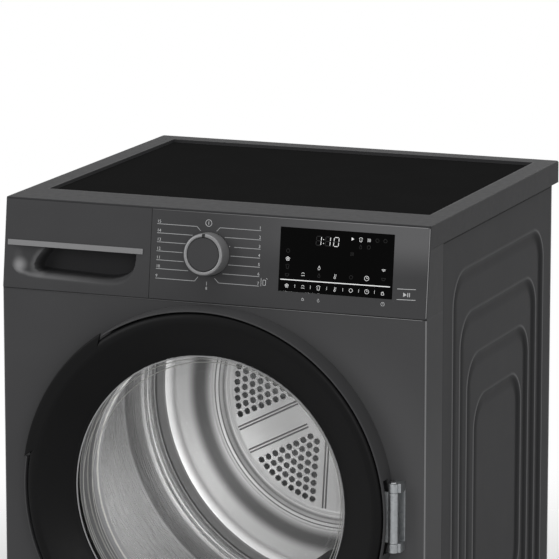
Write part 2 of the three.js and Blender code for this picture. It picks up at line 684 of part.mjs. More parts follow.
function addPlinth() {
  const z = [FLOOR_CLEARANCE, PLINTH_TOP - SEAM];
  const wall = behind(-1, PLASTIC + 1);
  const mouth = block([FLAP_LEFT - SEAM, FLAP_RIGHT + SEAM], wall,
    [FLAP_BOTTOM - FLAP_SWING, FLAP_TOP + SEAM]);
  const slots = [];
  for (let x = FLAP_RIGHT + GRILLE_START; x + GRILLE_SLOT < HALF - GRILLE_SIDE; x += GRILLE_PITCH) {
    slots.push(block([x, x + GRILLE_SLOT], wall, [FLAP_BOTTOM + GRILLE_MARGIN, FLAP_TOP - GRILLE_MARGIN]));
  }
  const lugs = [FLAP_RIGHT + PLINTH_LUG, TRAY_HALF - 2 * PLINTH_LUG].map((x) => block(
    [x, x + PLINTH_LUG], behind(PLASTIC - SEAM, TRAY_FRONT), [z[1] - PLINTH_LUG, z[1]]));
  const ears = [FLAP_LEFT - SEAM - FLAP_EAR, FLAP_RIGHT + SEAM].map((x) => cut(
    block([x, x + FLAP_EAR], behind(PLASTIC - SEAM, 2 * FLAP_THICKNESS),
      [FLAP_BOTTOM - FLAP_SWING, FLAP_BOTTOM + 2 * FLAP_THICKNESS]),
    alongX(boreRadius(FLAP_PIN_RADIUS, 16), [x - 1, x + FLAP_EAR + 1], FLAP_PIVOT.y, FLAP_PIVOT.z),
  ));
  piece('plinth', PLASTIC_GREY, join(cut(wrapSkin(z, PLASTIC), mouth, ...slots), ...lugs, ...ears));
}

function addServiceFlap() {
  const leaf = block([FLAP_LEFT, FLAP_RIGHT], behind(0, FLAP_THICKNESS), [FLAP_BOTTOM, FLAP_TOP]);
  const pins = alongX(FLAP_PIN_RADIUS,
    [FLAP_LEFT - FLAP_EAR, FLAP_RIGHT + FLAP_EAR], FLAP_PIVOT.y, FLAP_PIVOT.z);
  const nearPins = block([FLAP_LEFT + 1, FLAP_RIGHT - 1],
    [FLAP_PIVOT.y, FLAP_PIVOT.y + 2 * FLAP_PIN_RADIUS], [FLAP_BOTTOM, FLAP_TOP]);
  piece('service_flap', PLASTIC_GREY, join(leaf, cut(pins, nearPins)));
}

// ---------------------------------------------------------------------------
// Control fascia, display and knob
// ---------------------------------------------------------------------------

function addFascia() {
  const slope = [GAP, FASCIA_SLOPE];
  const face = cut(
    block([DRAWER_SPLIT + GAP, HALF], [0, FASCIA_WALL], [-slope[1], -slope[0]]),
    block([DISPLAY_LEFT, DISPLAY_RIGHT], [-1, FASCIA_WALL + 1], [-DISPLAY_BOTTOM, -DISPLAY_TOP]),
    rod(boreRadius(KNOB_RADIUS, 32), [-1, FASCIA_WALL + 1], { x: KNOB_X, z: -KNOB_DOWN, sides: 32 }),
  );
  const postPlaces = [KNOB_X - BOARD_MARGIN + 2 * BOARD_POST_RADIUS, DISPLAY_RIGHT + BOARD_OVERHANG / 2];
  const posts = postPlaces.map((x) => rod(
    BOARD_POST_RADIUS, [FASCIA_WALL - 1, BOARD_DEPTH - GAP], { x, z: -KNOB_DOWN, sides: 12 }));
  const backY = [FRONT + DRAWER_CHEEK, CHEEK_REAR];
  const z = [FASCIA_BOTTOM, WORKTOP_BOTTOM];
  const rightCheek = block([HALF - PLASTIC, HALF], [FRONT + PLASTIC, CHEEK_REAR], z);
  const leftCheek = block([-HALF, -HALF + PLASTIC], backY, z);
  const topBeam = block([-HALF, HALF], backY, [TANK_TOP + TANK_LID + SEAM, z[1]]);
  const bottomBeam = block([-HALF, HALF], backY, [z[0], z[0] + BEAM]);
  const divider = block([DRAWER_SPLIT + GAP, DRAWER_SPLIT + GAP + PLASTIC],
    [FRONT + 3 * FASCIA_WALL, CHEEK_REAR], z);
  const inFrontOfSlope = onSlope(block([-HALF - 1, HALF + 1], [-CHEEK_DEPTH, 0], [-2 * slope[1], 1]));
  const shell = cut(join(rightCheek, leftCheek, topBeam, bottomBeam, divider), inFrontOfSlope);
  piece('control_fascia', PLASTIC_GREY, join(onSlope(join(face, ...posts)), shell));
}

function addDisplay() {
  piece('display_window', BLACK_GLOSS, block(
    [DISPLAY_LEFT + GAP, DISPLAY_RIGHT - GAP], [GAP, FASCIA_WALL],
    [-DISPLAY_BOTTOM + GAP, -DISPLAY_TOP - GAP]), fascia);
  const board = block(
    [KNOB_X - BOARD_MARGIN, DISPLAY_RIGHT + BOARD_OVERHANG],
    [BOARD_DEPTH, BOARD_DEPTH + BOARD_THICKNESS],
    [-DISPLAY_BOTTOM, -BOARD_TOP]);
  const encoder = block(
    [KNOB_X - ENCODER_HALF, KNOB_X + ENCODER_HALF],
    [KNOB_SKIRT + GAP, BOARD_DEPTH],
    [-KNOB_DOWN - ENCODER_HALF, -KNOB_DOWN + ENCODER_HALF]);
  const bore = rod(boreRadius(KNOB_STEM_RADIUS, 16), [0, BOARD_DEPTH + BOARD_THICKNESS + 1],
    { x: KNOB_X, z: -KNOB_DOWN, sides: 16 });
  piece('control_board', { color: 0x2f5a3c, roughness: 0.6, metalness: 0 },
    cut(join(board, encoder), bore), fascia);
}

function addKnob() {
  const knob = new THREE.Group();
  knob.position.set(KNOB_X, 0, -KNOB_DOWN);
  fascia.add(knob);
  piece('knob_ring', LIGHT_GREY, turned([
    [KNOB_RADIUS, KNOB_SKIRT],
    [KNOB_RADIUS, 0],
    [KNOB_FRONT_RADIUS, KNOB_EDGE - KNOB_HEIGHT],
    [KNOB_FRONT_RADIUS - KNOB_EDGE, -KNOB_HEIGHT],
    [KNOB_DISC_RADIUS + GAP, -KNOB_HEIGHT],
    [KNOB_DISC_RADIUS + GAP, KNOB_SKIRT],
  ]), knob);
  piece('knob_disc', PLASTIC_GREY, turned([
    [0, KNOB_DISC_DROP - KNOB_HEIGHT],
    [KNOB_DISC_RADIUS, KNOB_DISC_DROP - KNOB_HEIGHT],
    [KNOB_DISC_RADIUS, KNOB_SKIRT],
    [KNOB_STEM_RADIUS, KNOB_SKIRT],
    [KNOB_STEM_RADIUS, BOARD_DEPTH],
    [0, BOARD_DEPTH],
  ]), knob);
}

// ---------------------------------------------------------------------------
// Water tank drawer
// ---------------------------------------------------------------------------

function addDrawerFront() {
  const pocketOuter = {
    x: [POCKET_LEFT - PLASTIC, POCKET_RIGHT + PLASTIC],
    z: [-POCKET_BOTTOM - PLASTIC, -POCKET_TOP + PLASTIC],
  };
  const wall = [-HALF, DRAWER_SPLIT - GAP];
  const front = cut(
    join(
      block(wall, [0, FASCIA_WALL], [-FASCIA_SLOPE, -GAP]),
      block(pocketOuter.x, [FASCIA_WALL - 1, POCKET_DEPTH + PLASTIC], pocketOuter.z),
    ),
    block([POCKET_LEFT, POCKET_RIGHT], [FASCIA_WALL, POCKET_DEPTH], [-POCKET_BOTTOM, -POCKET_TOP]),
    block([POCKET_LEFT, POCKET_RIGHT], [-1, FASCIA_WALL + 1], [-POCKET_BOTTOM, -POCKET_MOUTH]),
  );
  const cheek = cut(
    block([-HALF, -HALF + PLASTIC], [FRONT, FRONT + DRAWER_CHEEK - GAP],
      [FASCIA_BOTTOM, WORKTOP_BOTTOM - SEAM]),
    onSlope(block([-HALF - 1, 0], [-CHEEK_DEPTH, 0], [-2 * FASCIA_SLOPE, 1])),
  );
  piece('tank_drawer_front', PLASTIC_GREY, join(onSlope(front), cheek));
  piece('drawer_trim', LIGHT_GREY, block(
    [TRIM_LEFT, TRIM_RIGHT], [-TRIM_THICKNESS, -GAP], [-TRIM_BOTTOM, -TRIM_TOP]), fascia);
}

// Section of the water tank: deep beside the drum and shallow over it, shrunk by a wall.
function tankSection(shrink, top) {
  const left = TANK_LEFT + shrink;
  const right = TANK_LEFT + TANK_WIDTH - shrink;
  const step = TANK_LEFT + TANK_WIDTH - TANK_STEP_WIDTH - shrink;
  return polygon([
    [left, TANK_FLOOR + shrink],
    [step, TANK_FLOOR + shrink],
    [step, TANK_FLOOR + TANK_STEP_HEIGHT + shrink],
    [right, TANK_FLOOR + TANK_STEP_HEIGHT + shrink],
    [right, top],
    [left, top],
  ]);
}

function addTank() {
  const y = [WORKTOP_FRONT + TANK_FRONT, WORKTOP_FRONT + TANK_FRONT + TANK_LENGTH];
  const tank = cut(
    pushedY(tankSection(0, TANK_TOP), y),
    pushedY(tankSection(TANK_WALL, TANK_TOP + 1), [y[0] + TANK_WALL, y[1] - TANK_WALL]),
  );
  piece('water_tank', WHITE_PLASTIC, tank);
  const lid = cut(
    block([TANK_LEFT, TANK_LEFT + TANK_WIDTH], y, [TANK_TOP, TANK_TOP + TANK_LID]),
    post(TANK_FILL_RADIUS, [TANK_TOP - 1, TANK_TOP + TANK_LID + 1],
      { x: TANK_LEFT + TANK_WIDTH / 2, y: y[1] - 3 * TANK_FILL_RADIUS, sides: 20 }),
    block([TANK_LEFT + TANK_GRIP_SIDE, TANK_LEFT + TANK_WIDTH - TANK_GRIP_SIDE],
      [y[0] + TANK_GRIP_FRONT, y[0] + TANK_GRIP_FRONT + TANK_GRIP],
      [TANK_TOP - 1, TANK_TOP + TANK_LID + 1]),
  );
  piece('water_tank_lid', WHITE_PLASTIC, lid);
}

function addTankHousing() {
  const y = [CHEEK_REAR, REAR - 2 * SHEET];
  const floor = TANK_FLOOR - GAP;
  const right = TANK_LEFT + TANK_WIDTH;
  const step = right - TANK_STEP_WIDTH;
  const outline = polygon([
    [TANK_HOUSING_LEFT, floor - PLASTIC],
    [step + GAP + PLASTIC, floor - PLASTIC],
    [step + GAP + PLASTIC, floor + TANK_STEP_HEIGHT - PLASTIC],
    [right + SEAM + PLASTIC, floor + TANK_STEP_HEIGHT - PLASTIC],
    [right + SEAM + PLASTIC, TANK_TOP],
    [right + SEAM, TANK_TOP],
    [right + SEAM, floor + TANK_STEP_HEIGHT],
    [step + GAP, floor + TANK_STEP_HEIGHT],
    [step + GAP, floor],
    [TANK_HOUSING_LEFT + PLASTIC, floor],
    [TANK_HOUSING_LEFT + PLASTIC, TANK_TOP],
    [TANK_HOUSING_LEFT, TANK_TOP],
  ]);
  piece('tank_housing', WHITE_PLASTIC, pushedY(outline, y));
}

// ---------------------------------------------------------------------------
// Door
// ---------------------------------------------------------------------------

const doorPlace = { z: DOOR_Z, sides: 48 };

// Space round the hinge barrel and its arm, kept clear inside the door ring.
function hingeNotch() {
  const reach = HINGE_BARREL_HEIGHT / 2 + HINGE_LUG + 4;
  const z = [DOOR_Z - reach, DOOR_Z + reach];
  return join(
    post(HINGE_ROOM, z, { x: HINGE_X, y: HINGE_Y }),
    block([HINGE_X - HINGE_SLOT, HINGE_X], [HINGE_Y - HINGE_ROOM, HINGE_Y + HINGE_ROOM], z),
  );
}

// Back surface of the bezel, as a depth ahead of the front panel face, at a radius.
function bezelBack(radius) {
  const inner = WINDOW_RADIUS + BEZEL_LIP;
  const share = (radius - inner) / (BEZEL_CREST_RADIUS - inner);
  return THREE.MathUtils.lerp(WINDOW_DEPTH, DOOR_PROJECTION - BEZEL_WALL, share);
}

function addDoorRing() {
  const front = DOOR_PROJECTION - 1;
  const lip = DOOR_FRONT_RADIUS - DOOR_WALL;
  const wall = turned([
    [DOOR_BASE_RADIUS, FRONT - DOOR_CLEARANCE],
    [DOOR_FRONT_RADIUS, FRONT - front],
    [lip, FRONT - front],
    [DOOR_BASE_RADIUS - DOOR_WALL, FRONT - DOOR_CLEARANCE],
  ], doorPlace);
  const depth = [FRONT - DOOR_PROJECTION - 1, FRONT];
  const pocketSpace = ringSector(
    [GRIP_POCKET_RADIUS, DOOR_BASE_RADIUS + 5], [GRIP_FROM - 1, GRIP_TO + 1], depth, DOOR_Z);
  const pocketFront = bezelBack(GRIP_POCKET_RADIUS - PLASTIC) - GAP;
  const pocketDepth = [FRONT - pocketFront, FRONT - DOOR_CLEARANCE - DOOR_FRAME_WALL - GAP];
  const pocketWall = join(
    ringSector([GRIP_POCKET_RADIUS - PLASTIC, GRIP_POCKET_RADIUS], [GRIP_FROM - 2, GRIP_TO + 2],
      pocketDepth, DOOR_Z),
    ringSector([GRIP_POCKET_RADIUS - PLASTIC, DOOR_FRONT_RADIUS - 1], [GRIP_FROM - 2, GRIP_FROM - 1],
      pocketDepth, DOOR_Z),
    ringSector([GRIP_POCKET_RADIUS - PLASTIC, DOOR_FRONT_RADIUS - 1], [GRIP_TO + 1, GRIP_TO + 2],
      pocketDepth, DOOR_Z),
  );
  piece('door_ring', PLASTIC_GREY, cut(join(cut(wall, pocketSpace), pocketWall), hingeNotch()));
}

function addDoorBezel() {
  const outer = DOOR_FRONT_RADIUS - DOOR_WALL - GAP;
  const inner = WINDOW_RADIUS + BEZEL_LIP;
  const face = FRONT - DOOR_PROJECTION;
  const rim = turned([
    [outer, face + BEZEL_BEVEL],
    [BEZEL_CREST_RADIUS + BEZEL_FLAT, face],
    [BEZEL_CREST_RADIUS, face],
    [WINDOW_RADIUS + 1, FRONT - WINDOW_DEPTH - 1.2],
    [WINDOW_RADIUS, FRONT - WINDOW_DEPTH],
    [inner, FRONT - WINDOW_DEPTH],
    [BEZEL_CREST_RADIUS, face + BEZEL_WALL],
    [outer, face + BEZEL_BEVEL + BEZEL_WALL],
  ], doorPlace);
  const grip = ringSector([BEZEL_CREST_RADIUS + BEZEL_FLAT, GRIP_RADIUS], [GRIP_FROM, GRIP_TO],
    [face, face + BEZEL_WALL + 1], DOOR_Z);
  piece('door_bezel', BLACK_GLOSS, cut(join(rim, grip), hingeNotch()));
}

function addDoorWindow() {
  const seat = FRONT - WINDOW_DEPTH + GAP;
  const throat = WINDOW_RADIUS - BOWL_THROAT;
  const bottom = FRONT + BOWL_DEPTH;
  piece('door_window', GLASS, turned([
    [0, bottom],
    [BOWL_RADIUS, bottom - BOWL_DISH],
    [BOWL_RADIUS + BOWL_ROUND, bottom - GLASS_WALL * BOWL_DISH],
    [throat, seat + GLASS_FLANGE],
    [WINDOW_RADIUS + BEZEL_LIP, seat + GLASS_FLANGE],
    [WINDOW_RADIUS + BEZEL_LIP, seat],
    [throat - GLASS_WALL, seat],
    [BOWL_RADIUS + BOWL_ROUND - GLASS_WALL, bottom - BOWL_ROUND],
    [BOWL_RADIUS - GLASS_WALL / 2, bottom - BOWL_DISH - GLASS_WALL],
    [0, bottom - GLASS_WALL],
  ], doorPlace));
}

function addDoorFrame() {
  const back = FRONT - DOOR_CLEARANCE;
  const plate = turned([
    [WINDOW_RADIUS, back - DOOR_FRAME_WALL],
    [DOOR_BASE_RADIUS - DOOR_WALL - 3 * GAP, back - DOOR_FRAME_WALL],
    [DOOR_BASE_RADIUS - DOOR_WALL - 3 * GAP, back],
    [SEAL_RADIUS, back],
    [SEAL_RADIUS, FRONT + SEAL_FRONT - GAP],
    [SEAL_RADIUS - PLASTIC, FRONT + SEAL_FRONT - GAP],
    [SEAL_RADIUS - PLASTIC, back],
    [WINDOW_RADIUS, back],
  ], doorPlace);
  const across = [CATCH_X - CATCH_HALF, CATCH_X + CATCH_HALF];
  const toeDrop = CATCH_SLOT_HEIGHT / 2 - 3 * GAP;
  const hook = block(across, [back - 1, FRONT + CATCH_REACH],
    [DOOR_Z - toeDrop + CATCH_TOE, DOOR_Z + toeDrop]);
  const toe = block(across, [FRONT + CATCH_REACH - CATCH_TOE, FRONT + CATCH_REACH],
    [DOOR_Z - toeDrop, DOOR_Z]);
  piece('door_frame', BLACK_MATTE, join(cut(plate, hingeNotch()), hook, toe));
}

function addDoorSeal() {
  piece('door_seal', RUBBER, turned([
    [SEAL_RADIUS - SEAL_WALL, FRONT + SEAL_FRONT],
    [SEAL_RADIUS, FRONT + SEAL_FRONT],
    [SEAL_RADIUS, FRONT + BULKHEAD_FRONT],
    [SEAL_RADIUS - SEAL_WALL, FRONT + BULKHEAD_FRONT],
  ], doorPlace));
}

function addHinge() {
  const barrelTop = DOOR_Z + HINGE_BARREL_HEIGHT / 2;
  const reach = HINGE_BARREL_HEIGHT / 2 + GAP + HINGE_LUG;
  const lug = (z) => cut(
    join(
      block([HINGE_X - HINGE_HEEL, HINGE_X + HINGE_FOOT], [HINGE_Y, FRONT], z),
      post(HINGE_BARREL_RADIUS, z, { x: HINGE_X, y: HINGE_Y }),
    ),
    post(boreRadius(HINGE_PIN_RADIUS, 16), [z[0] - 1, z[1] + 1], { x: HINGE_X, y: HINGE_Y, sides: 16 }),
  );
  piece('hinge_bracket', ZINC, join(
    block([HINGE_X - HINGE_HEEL, HINGE_X + HINGE_FOOT], [FRONT - HINGE_PLATE, FRONT],
      [DOOR_Z - reach, DOOR_Z + reach]),
    lug([barrelTop + GAP, DOOR_Z + reach]),
    lug([DOOR_Z - reach, 2 * DOOR_Z - barrelTop - GAP]),
  ));
  piece('hinge_pin', STEEL, join(
    post(HINGE_PIN_RADIUS, [DOOR_Z - reach, DOOR_Z + reach + GAP],
      { x: HINGE_X, y: HINGE_Y, sides: 16 }),
    post(HINGE_PIN_RADIUS + HINGE_PIN_HEAD, [DOOR_Z + reach + GAP, DOOR_Z + reach + 2],
      { x: HINGE_X, y: HINGE_Y, sides: 16 }),
  ));
  const barrel = [2 * DOOR_Z - barrelTop, barrelTop];
  const frameFront = FRONT - DOOR_CLEARANCE - DOOR_FRAME_WALL;
  const arm = join(
    post(HINGE_BARREL_RADIUS, barrel, { x: HINGE_X, y: HINGE_Y }),
    block([HINGE_ARM_END, HINGE_X], [HINGE_Y, HINGE_Y + HINGE_ARM], barrel),
    block([HINGE_ARM_END, HINGE_ARM_END + HINGE_ARM_FOOT], [HINGE_Y, frameFront], barrel),
  );
  piece('hinge_arm', ZINC, cut(arm, post(boreRadius(HINGE_PIN_RADIUS, 16),
    [barrel[0] - 1, barrel[1] + 1], { x: HINGE_X, y: HINGE_Y, sides: 16 })));
}

function addLatch() {
  const room = CATCH_SLOT_HALF + 2;
  const roomUp = CATCH_SLOT_HEIGHT / 2 + 3;
  piece('latch_housing', BLACK_MATTE, cut(
    block([CATCH_X - 2 * CATCH_SLOT_HALF, CATCH_X + 2 * CATCH_SLOT_HALF], behind(SHEET, CATCH_REACH + 10),
      [DOOR_Z - CATCH_SLOT_HEIGHT * 1.5, DOOR_Z + CATCH_SLOT_HEIGHT * 1.5]),
    block([CATCH_X - room, CATCH_X + room], behind(SHEET - 1, CATCH_REACH + 4),
      [DOOR_Z - roomUp, DOOR_Z + roomUp]),
  ));
}

// ---------------------------------------------------------------------------
// Drum, its supports and the lint filter
// ---------------------------------------------------------------------------

const drumPlace = { z: DRUM_Z, sides: DRUM_SIDES };

function addDrum() {
  piece('drum_shell', STEEL, tube(DRUM_INNER, DRUM_RADIUS, behind(DRUM_FRONT, DRUM_BACK), drumPlace));
  const edge = DRUM_INNER * Math.cos(Math.PI / DRUM_SIDES) - GAP;
  const crest = FRONT + DRUM_BACK - DRUM_BEAD_HEIGHT;
  piece('drum_back', STEEL, turned([
    [0, FRONT + DRUM_BACK],
    [0, FRONT + DRUM_BACK - DRUM_BACK_THICKNESS],
    [DRUM_BEAD_RADIUS, FRONT + DRUM_BACK - DRUM_BACK_THICKNESS],
    [DRUM_BEAD_RADIUS + DRUM_BEAD_SLOPE, crest],
    [DRUM_BEAD_RADIUS + DRUM_BEAD_WIDTH, crest],
    [edge, FRONT + DRUM_BACK - DRUM_RIM],
    [edge, FRONT + DRUM_BACK],
    [edge - DRUM_BACK_THICKNESS, FRONT + DRUM_BACK],
    [edge - DRUM_BACK_THICKNESS, FRONT + DRUM_BACK - DRUM_RIM + DRUM_BACK_THICKNESS],
    [DRUM_BEAD_RADIUS + DRUM_BEAD_WIDTH, crest + DRUM_BACK_THICKNESS],
    [DRUM_BEAD_RADIUS + DRUM_BEAD_SLOPE, crest + DRUM_BACK_THICKNESS],
    [DRUM_BEAD_RADIUS, FRONT + DRUM_BACK],
  ], drumPlace));
  const flange = DRUM_BACK + GAP;
  piece('drum_shaft', STEEL, turned([
    [0, FRONT + flange],
    [SHAFT_FLANGE_RADIUS, FRONT + flange],
    [SHAFT_FLANGE_RADIUS, FRONT + flange + SHAFT_FLANGE],
    [SHAFT_RADIUS, FRONT + flange + SHAFT_FLANGE],
    [SHAFT_RADIUS, FRONT + SHAFT_END],
    [0, FRONT + SHAFT_END],
  ], { z: DRUM_Z, sides: 32 }));
}

function addLifters() {
  const seat = DRUM_INNER * Math.cos(Math.PI / DRUM_SIDES) - GAP;
  const base = Math.sqrt(seat ** 2 - (LIFTER_WIDTH / 2) ** 2);
  const section = polygon([
    [-LIFTER_WIDTH / 2, -base],
    [LIFTER_WIDTH / 2, -base],
    [LIFTER_TOP_WIDTH / 2, -base + LIFTER_HEIGHT - 4],
    [LIFTER_TOP_WIDTH / 4, -base + LIFTER_HEIGHT],
    [-LIFTER_TOP_WIDTH / 4, -base + LIFTER_HEIGHT],
    [-LIFTER_TOP_WIDTH / 2, -base + LIFTER_HEIGHT - 4],
  ]);
  const y = behind(DRUM_FRONT + LIFTER_END_MARGIN, DRUM_BACK - LIFTER_END_MARGIN);
  for (let number = 0; number < LIFTER_COUNT; number += 1) {
    const turn = degrees(LIFTER_FIRST_ANGLE + 90 + (number * 360) / LIFTER_COUNT);
    const mesh = piece(`drum_lifter_${number + 1}`, PLASTIC_GREY, pushedY(section, y));
    mesh.position.z = DRUM_Z;
    mesh.rotation.y = -turn;
  }
}

function filterDuct() {
  const room = 2 * GAP;
  const x = FILTER_WIDTH / 2 + room;
  const y = behind(FILTER_FRONT - room, FILTER_FRONT + FILTER_THICKNESS + room);
  const z = [FILTER_BOTTOM - room, DOOR_Z];
  return {
    outer: block([-x - PLASTIC, x + PLASTIC], [y[0] - PLASTIC, FRONT + BULKHEAD_BACK],
      [z[0] - PLASTIC, FILTER_TOP + FILTER_DUCT_RISE]),
    inner: block([-x, x], y, z),
  };
}

function addBulkhead() {
  const front = FRONT + BULKHEAD_FRONT;
  const back = FRONT + BULKHEAD_BACK;
  const duct = filterDuct();
  const mouth = turned([
    [0, front - 1], [MOUTH_RADIUS, front - 1], [MOUTH_RADIUS, back + 1], [0, back + 1],
  ], doorPlace);
  const plate = block([-SIDE_INNER + GAP, SIDE_INNER - GAP],
    behind(BULKHEAD_PLATE, BULKHEAD_BACK), [TRAY_TOP, BULKHEAD_TOP]);
  const throat = rod(MOUTH_RADIUS + PLASTIC + 1, [front, back], doorPlace);
  const ride = tube(RIDE_RADIUS - RIDE_WALL, RIDE_RADIUS, [back - 1, back + RIDE_LENGTH], drumPlace);
  const body = cut(join(plate, throat, duct.outer, ride), mouth, duct.inner);
  piece('front_bulkhead', WHITE_PLASTIC, body);
  const sealInner = boreRadius(RIDE_RADIUS, DRUM_SIDES);
  const sealOuter = DRUM_INNER * Math.cos(Math.PI / DRUM_SIDES) - GAP;
  piece('drum_seal', FELT, tube(sealInner, sealOuter,
    behind(BULKHEAD_BACK + SEAL_OFFSET, BULKHEAD_BACK + SEAL_OFFSET + SEAL_WIDTH), drumPlace));
}

function addRollers() {
  const reach = DRUM_RADIUS + GAP + ROLLER_RADIUS;
  for (const [side, name] of [[-1, 'left'], [1, 'right']]) {
    const place = {
      x: side * reach * Math.sin(degrees(ROLLER_ANGLE)),
      z: DRUM_Z - reach * Math.cos(degrees(ROLLER_ANGLE)),
    };
    const start = BULKHEAD_BACK + ROLLER_STANDOFF;
    piece(`drum_roller_${name}`, BLACK_MATTE, tube(boreRadius(ROLLER_AXLE_RADIUS), ROLLER_RADIUS,
      behind(start, start + ROLLER_WIDTH), { ...place, sides: 24 }));
    piece(`roller_axle_${name}`, STEEL, turned([
      [0, FRONT + BULKHEAD_BACK],
      [ROLLER_AXLE_RADIUS + 4, FRONT + BULKHEAD_BACK],
      [ROLLER_AXLE_RADIUS + 4, FRONT + start - GAP],
      [ROLLER_AXLE_RADIUS, FRONT + start - GAP],
      [ROLLER_AXLE_RADIUS, FRONT + start + ROLLER_WIDTH + ROLLER_CAP],
      [0, FRONT + start + ROLLER_WIDTH + ROLLER_CAP],
    ], { ...place, sides: 24 }));
  }
}

function addLintFilter() {
  const x = [-FILTER_WIDTH / 2, FILTER_WIDTH / 2];
  const y = behind(FILTER_FRONT, FILTER_FRONT + FILTER_THICKNESS);
  const z = [FILTER_BOTTOM, FILTER_TOP];
  const shell = cut(
    block(x, y, z),
    block([x[0] + FILTER_WALL, x[1] - FILTER_WALL], [y[0] + FILTER_WALL, y[1] - FILTER_WALL],
      [z[0] + FILTER_WALL, z[1] + 1]),
  );
  const windows = [];
  for (let column = 0; column < FILTER_WINDOWS; column += 1) {
    const pitch = (FILTER_WIDTH - 2 * FILTER_WALL) / FILTER_WINDOWS;
    const left = x[0] + FILTER_WALL + column * pitch;
    windows.push(block([left + FILTER_BAR / 2, left + pitch - FILTER_BAR / 2], [y[0] - 1, y[1] + 1],
      [z[0] + FILTER_SILL, z[1] - FILTER_HEADER]));
  }
  const grip = block([-FILTER_GRIP / 2, FILTER_GRIP / 2], [y[1] - FILTER_WALL, y[1]],
    [z[1] - 1, z[1] + FILTER_GRIP_HEIGHT]);
  piece('lint_filter', BLACK_MATTE, join(cut(shell, ...windows), grip));
}

// ---------------------------------------------------------------------------
// Base module and heat pump
// ---------------------------------------------------------------------------

const footSpots = [
  [-FOOT_X, FRONT + FOOT_FRONT], [FOOT_X, FRONT + FOOT_FRONT],
  [-FOOT_X, REAR - FOOT_REAR], [FOOT_X, REAR - FOOT_REAR],
];

const idlerPivot = { x: IDLER_PIVOT_X, z: IDLER_PIVOT_Z };

function addBaseTray() {
  const x = [-TRAY_HALF, TRAY_HALF];
  const y = [FRONT + TRAY_FRONT, REAR - SHEET];
  const floor = FLOOR_CLEARANCE + TRAY_FLOOR;
  const walls = cut(
    block(x, y, [FLOOR_CLEARANCE, TRAY_TOP]),
    block([x[0] + TRAY_WALL, x[1] - TRAY_WALL], [y[0] + TRAY_WALL, y[1] - TRAY_WALL], [floor, TRAY_TOP + 1]),
    block([COIL_LEFT, FLAP_RIGHT], [y[0] - 1, y[0] + TRAY_WALL + 1], [FLAP_BOTTOM, FLAP_TOP]),
    block([FLAP_RIGHT + GRILLE_START, HALF - GRILLE_SIDE], [y[0] - 1, y[0] + TRAY_WALL + 1],
      [FLAP_BOTTOM + GRILLE_MARGIN, FLAP_TOP - GRILLE_MARGIN]),
  );
  const cradles = [MOTOR_FRONT + MOTOR_CRADLE, MOTOR_REAR - 2 * MOTOR_CRADLE].map((d) => block(
    [MOTOR_X - MOTOR_CRADLE_HALF, MOTOR_X + MOTOR_CRADLE_HALF], behind(d, d + MOTOR_CRADLE),
    [floor - 1, MOTOR_Z - MOTOR_RADIUS]));
  const postDepth = behind(IDLER_POST_FRONT, IDLER_POST_FRONT + IDLER_POST);
  const idlerPost = cut(
    block([IDLER_PIVOT_X - IDLER_POST, IDLER_PIVOT_X + IDLER_POST], postDepth,
      [floor - 1, IDLER_PIVOT_Z + IDLER_POST]),
    rod(boreRadius(IDLER_PIN_RADIUS, 16), [postDepth[0] - 1, postDepth[1] + 1],
      { ...idlerPivot, sides: 16 }),
  );
  const bosses = footSpots.map(([fx, fy]) => post(
    FOOT_BOSS_RADIUS, [floor - 1, FOOT_STEM_TOP + FOOT_BOSS_ROOF], { x: fx, y: fy, sides: 24 }));
  const bores = footSpots.map(([fx, fy]) => post(
    boreRadius(FOOT_STEM_RADIUS, 16), [FLOOR_CLEARANCE - 1, FOOT_STEM_TOP + GAP],
    { x: fx, y: fy, sides: 16 }));
  piece('base_tray', BLACK_MATTE, cut(join(walls, ...cradles, idlerPost, ...bosses), ...bores));
}

function addFeet() {
  footSpots.forEach(([x, y], at) => {
    piece(`foot_${at + 1}`, RUBBER, join(
      post(FOOT_PAD_RADIUS, [0, FOOT_PAD_HEIGHT], { x, y }),
      post(FOOT_STEM_RADIUS, [FOOT_PAD_HEIGHT - 1, FOOT_STEM_TOP], { x, y, sides: 16 }),
    ));
  });
}

// A heat exchanger: a core block with end plates and fins standing proud of it.
function coil(front, depth) {
  const floor = FLOOR_CLEARANCE + TRAY_FLOOR;
  const margin = (depth - COIL_CORE) / 2;
  const core = block([COIL_LEFT, COIL_RIGHT], behind(front + margin, front + depth - margin),
    [floor + COIL_FIN_PROUD, floor + COIL_HEIGHT - COIL_FIN_PROUD]);
  const pitch = (COIL_RIGHT - COIL_LEFT - COIL_FIN_THICKNESS) / (COIL_FINS - 1);
  const fins = Array.from({ length: COIL_FINS }, (_, number) => {
    const x = COIL_LEFT + number * pitch;
    return block([x, x + COIL_FIN_THICKNESS], behind(front, front + depth), [floor, floor + COIL_HEIGHT]);
  });
  return join(core, ...fins);
}

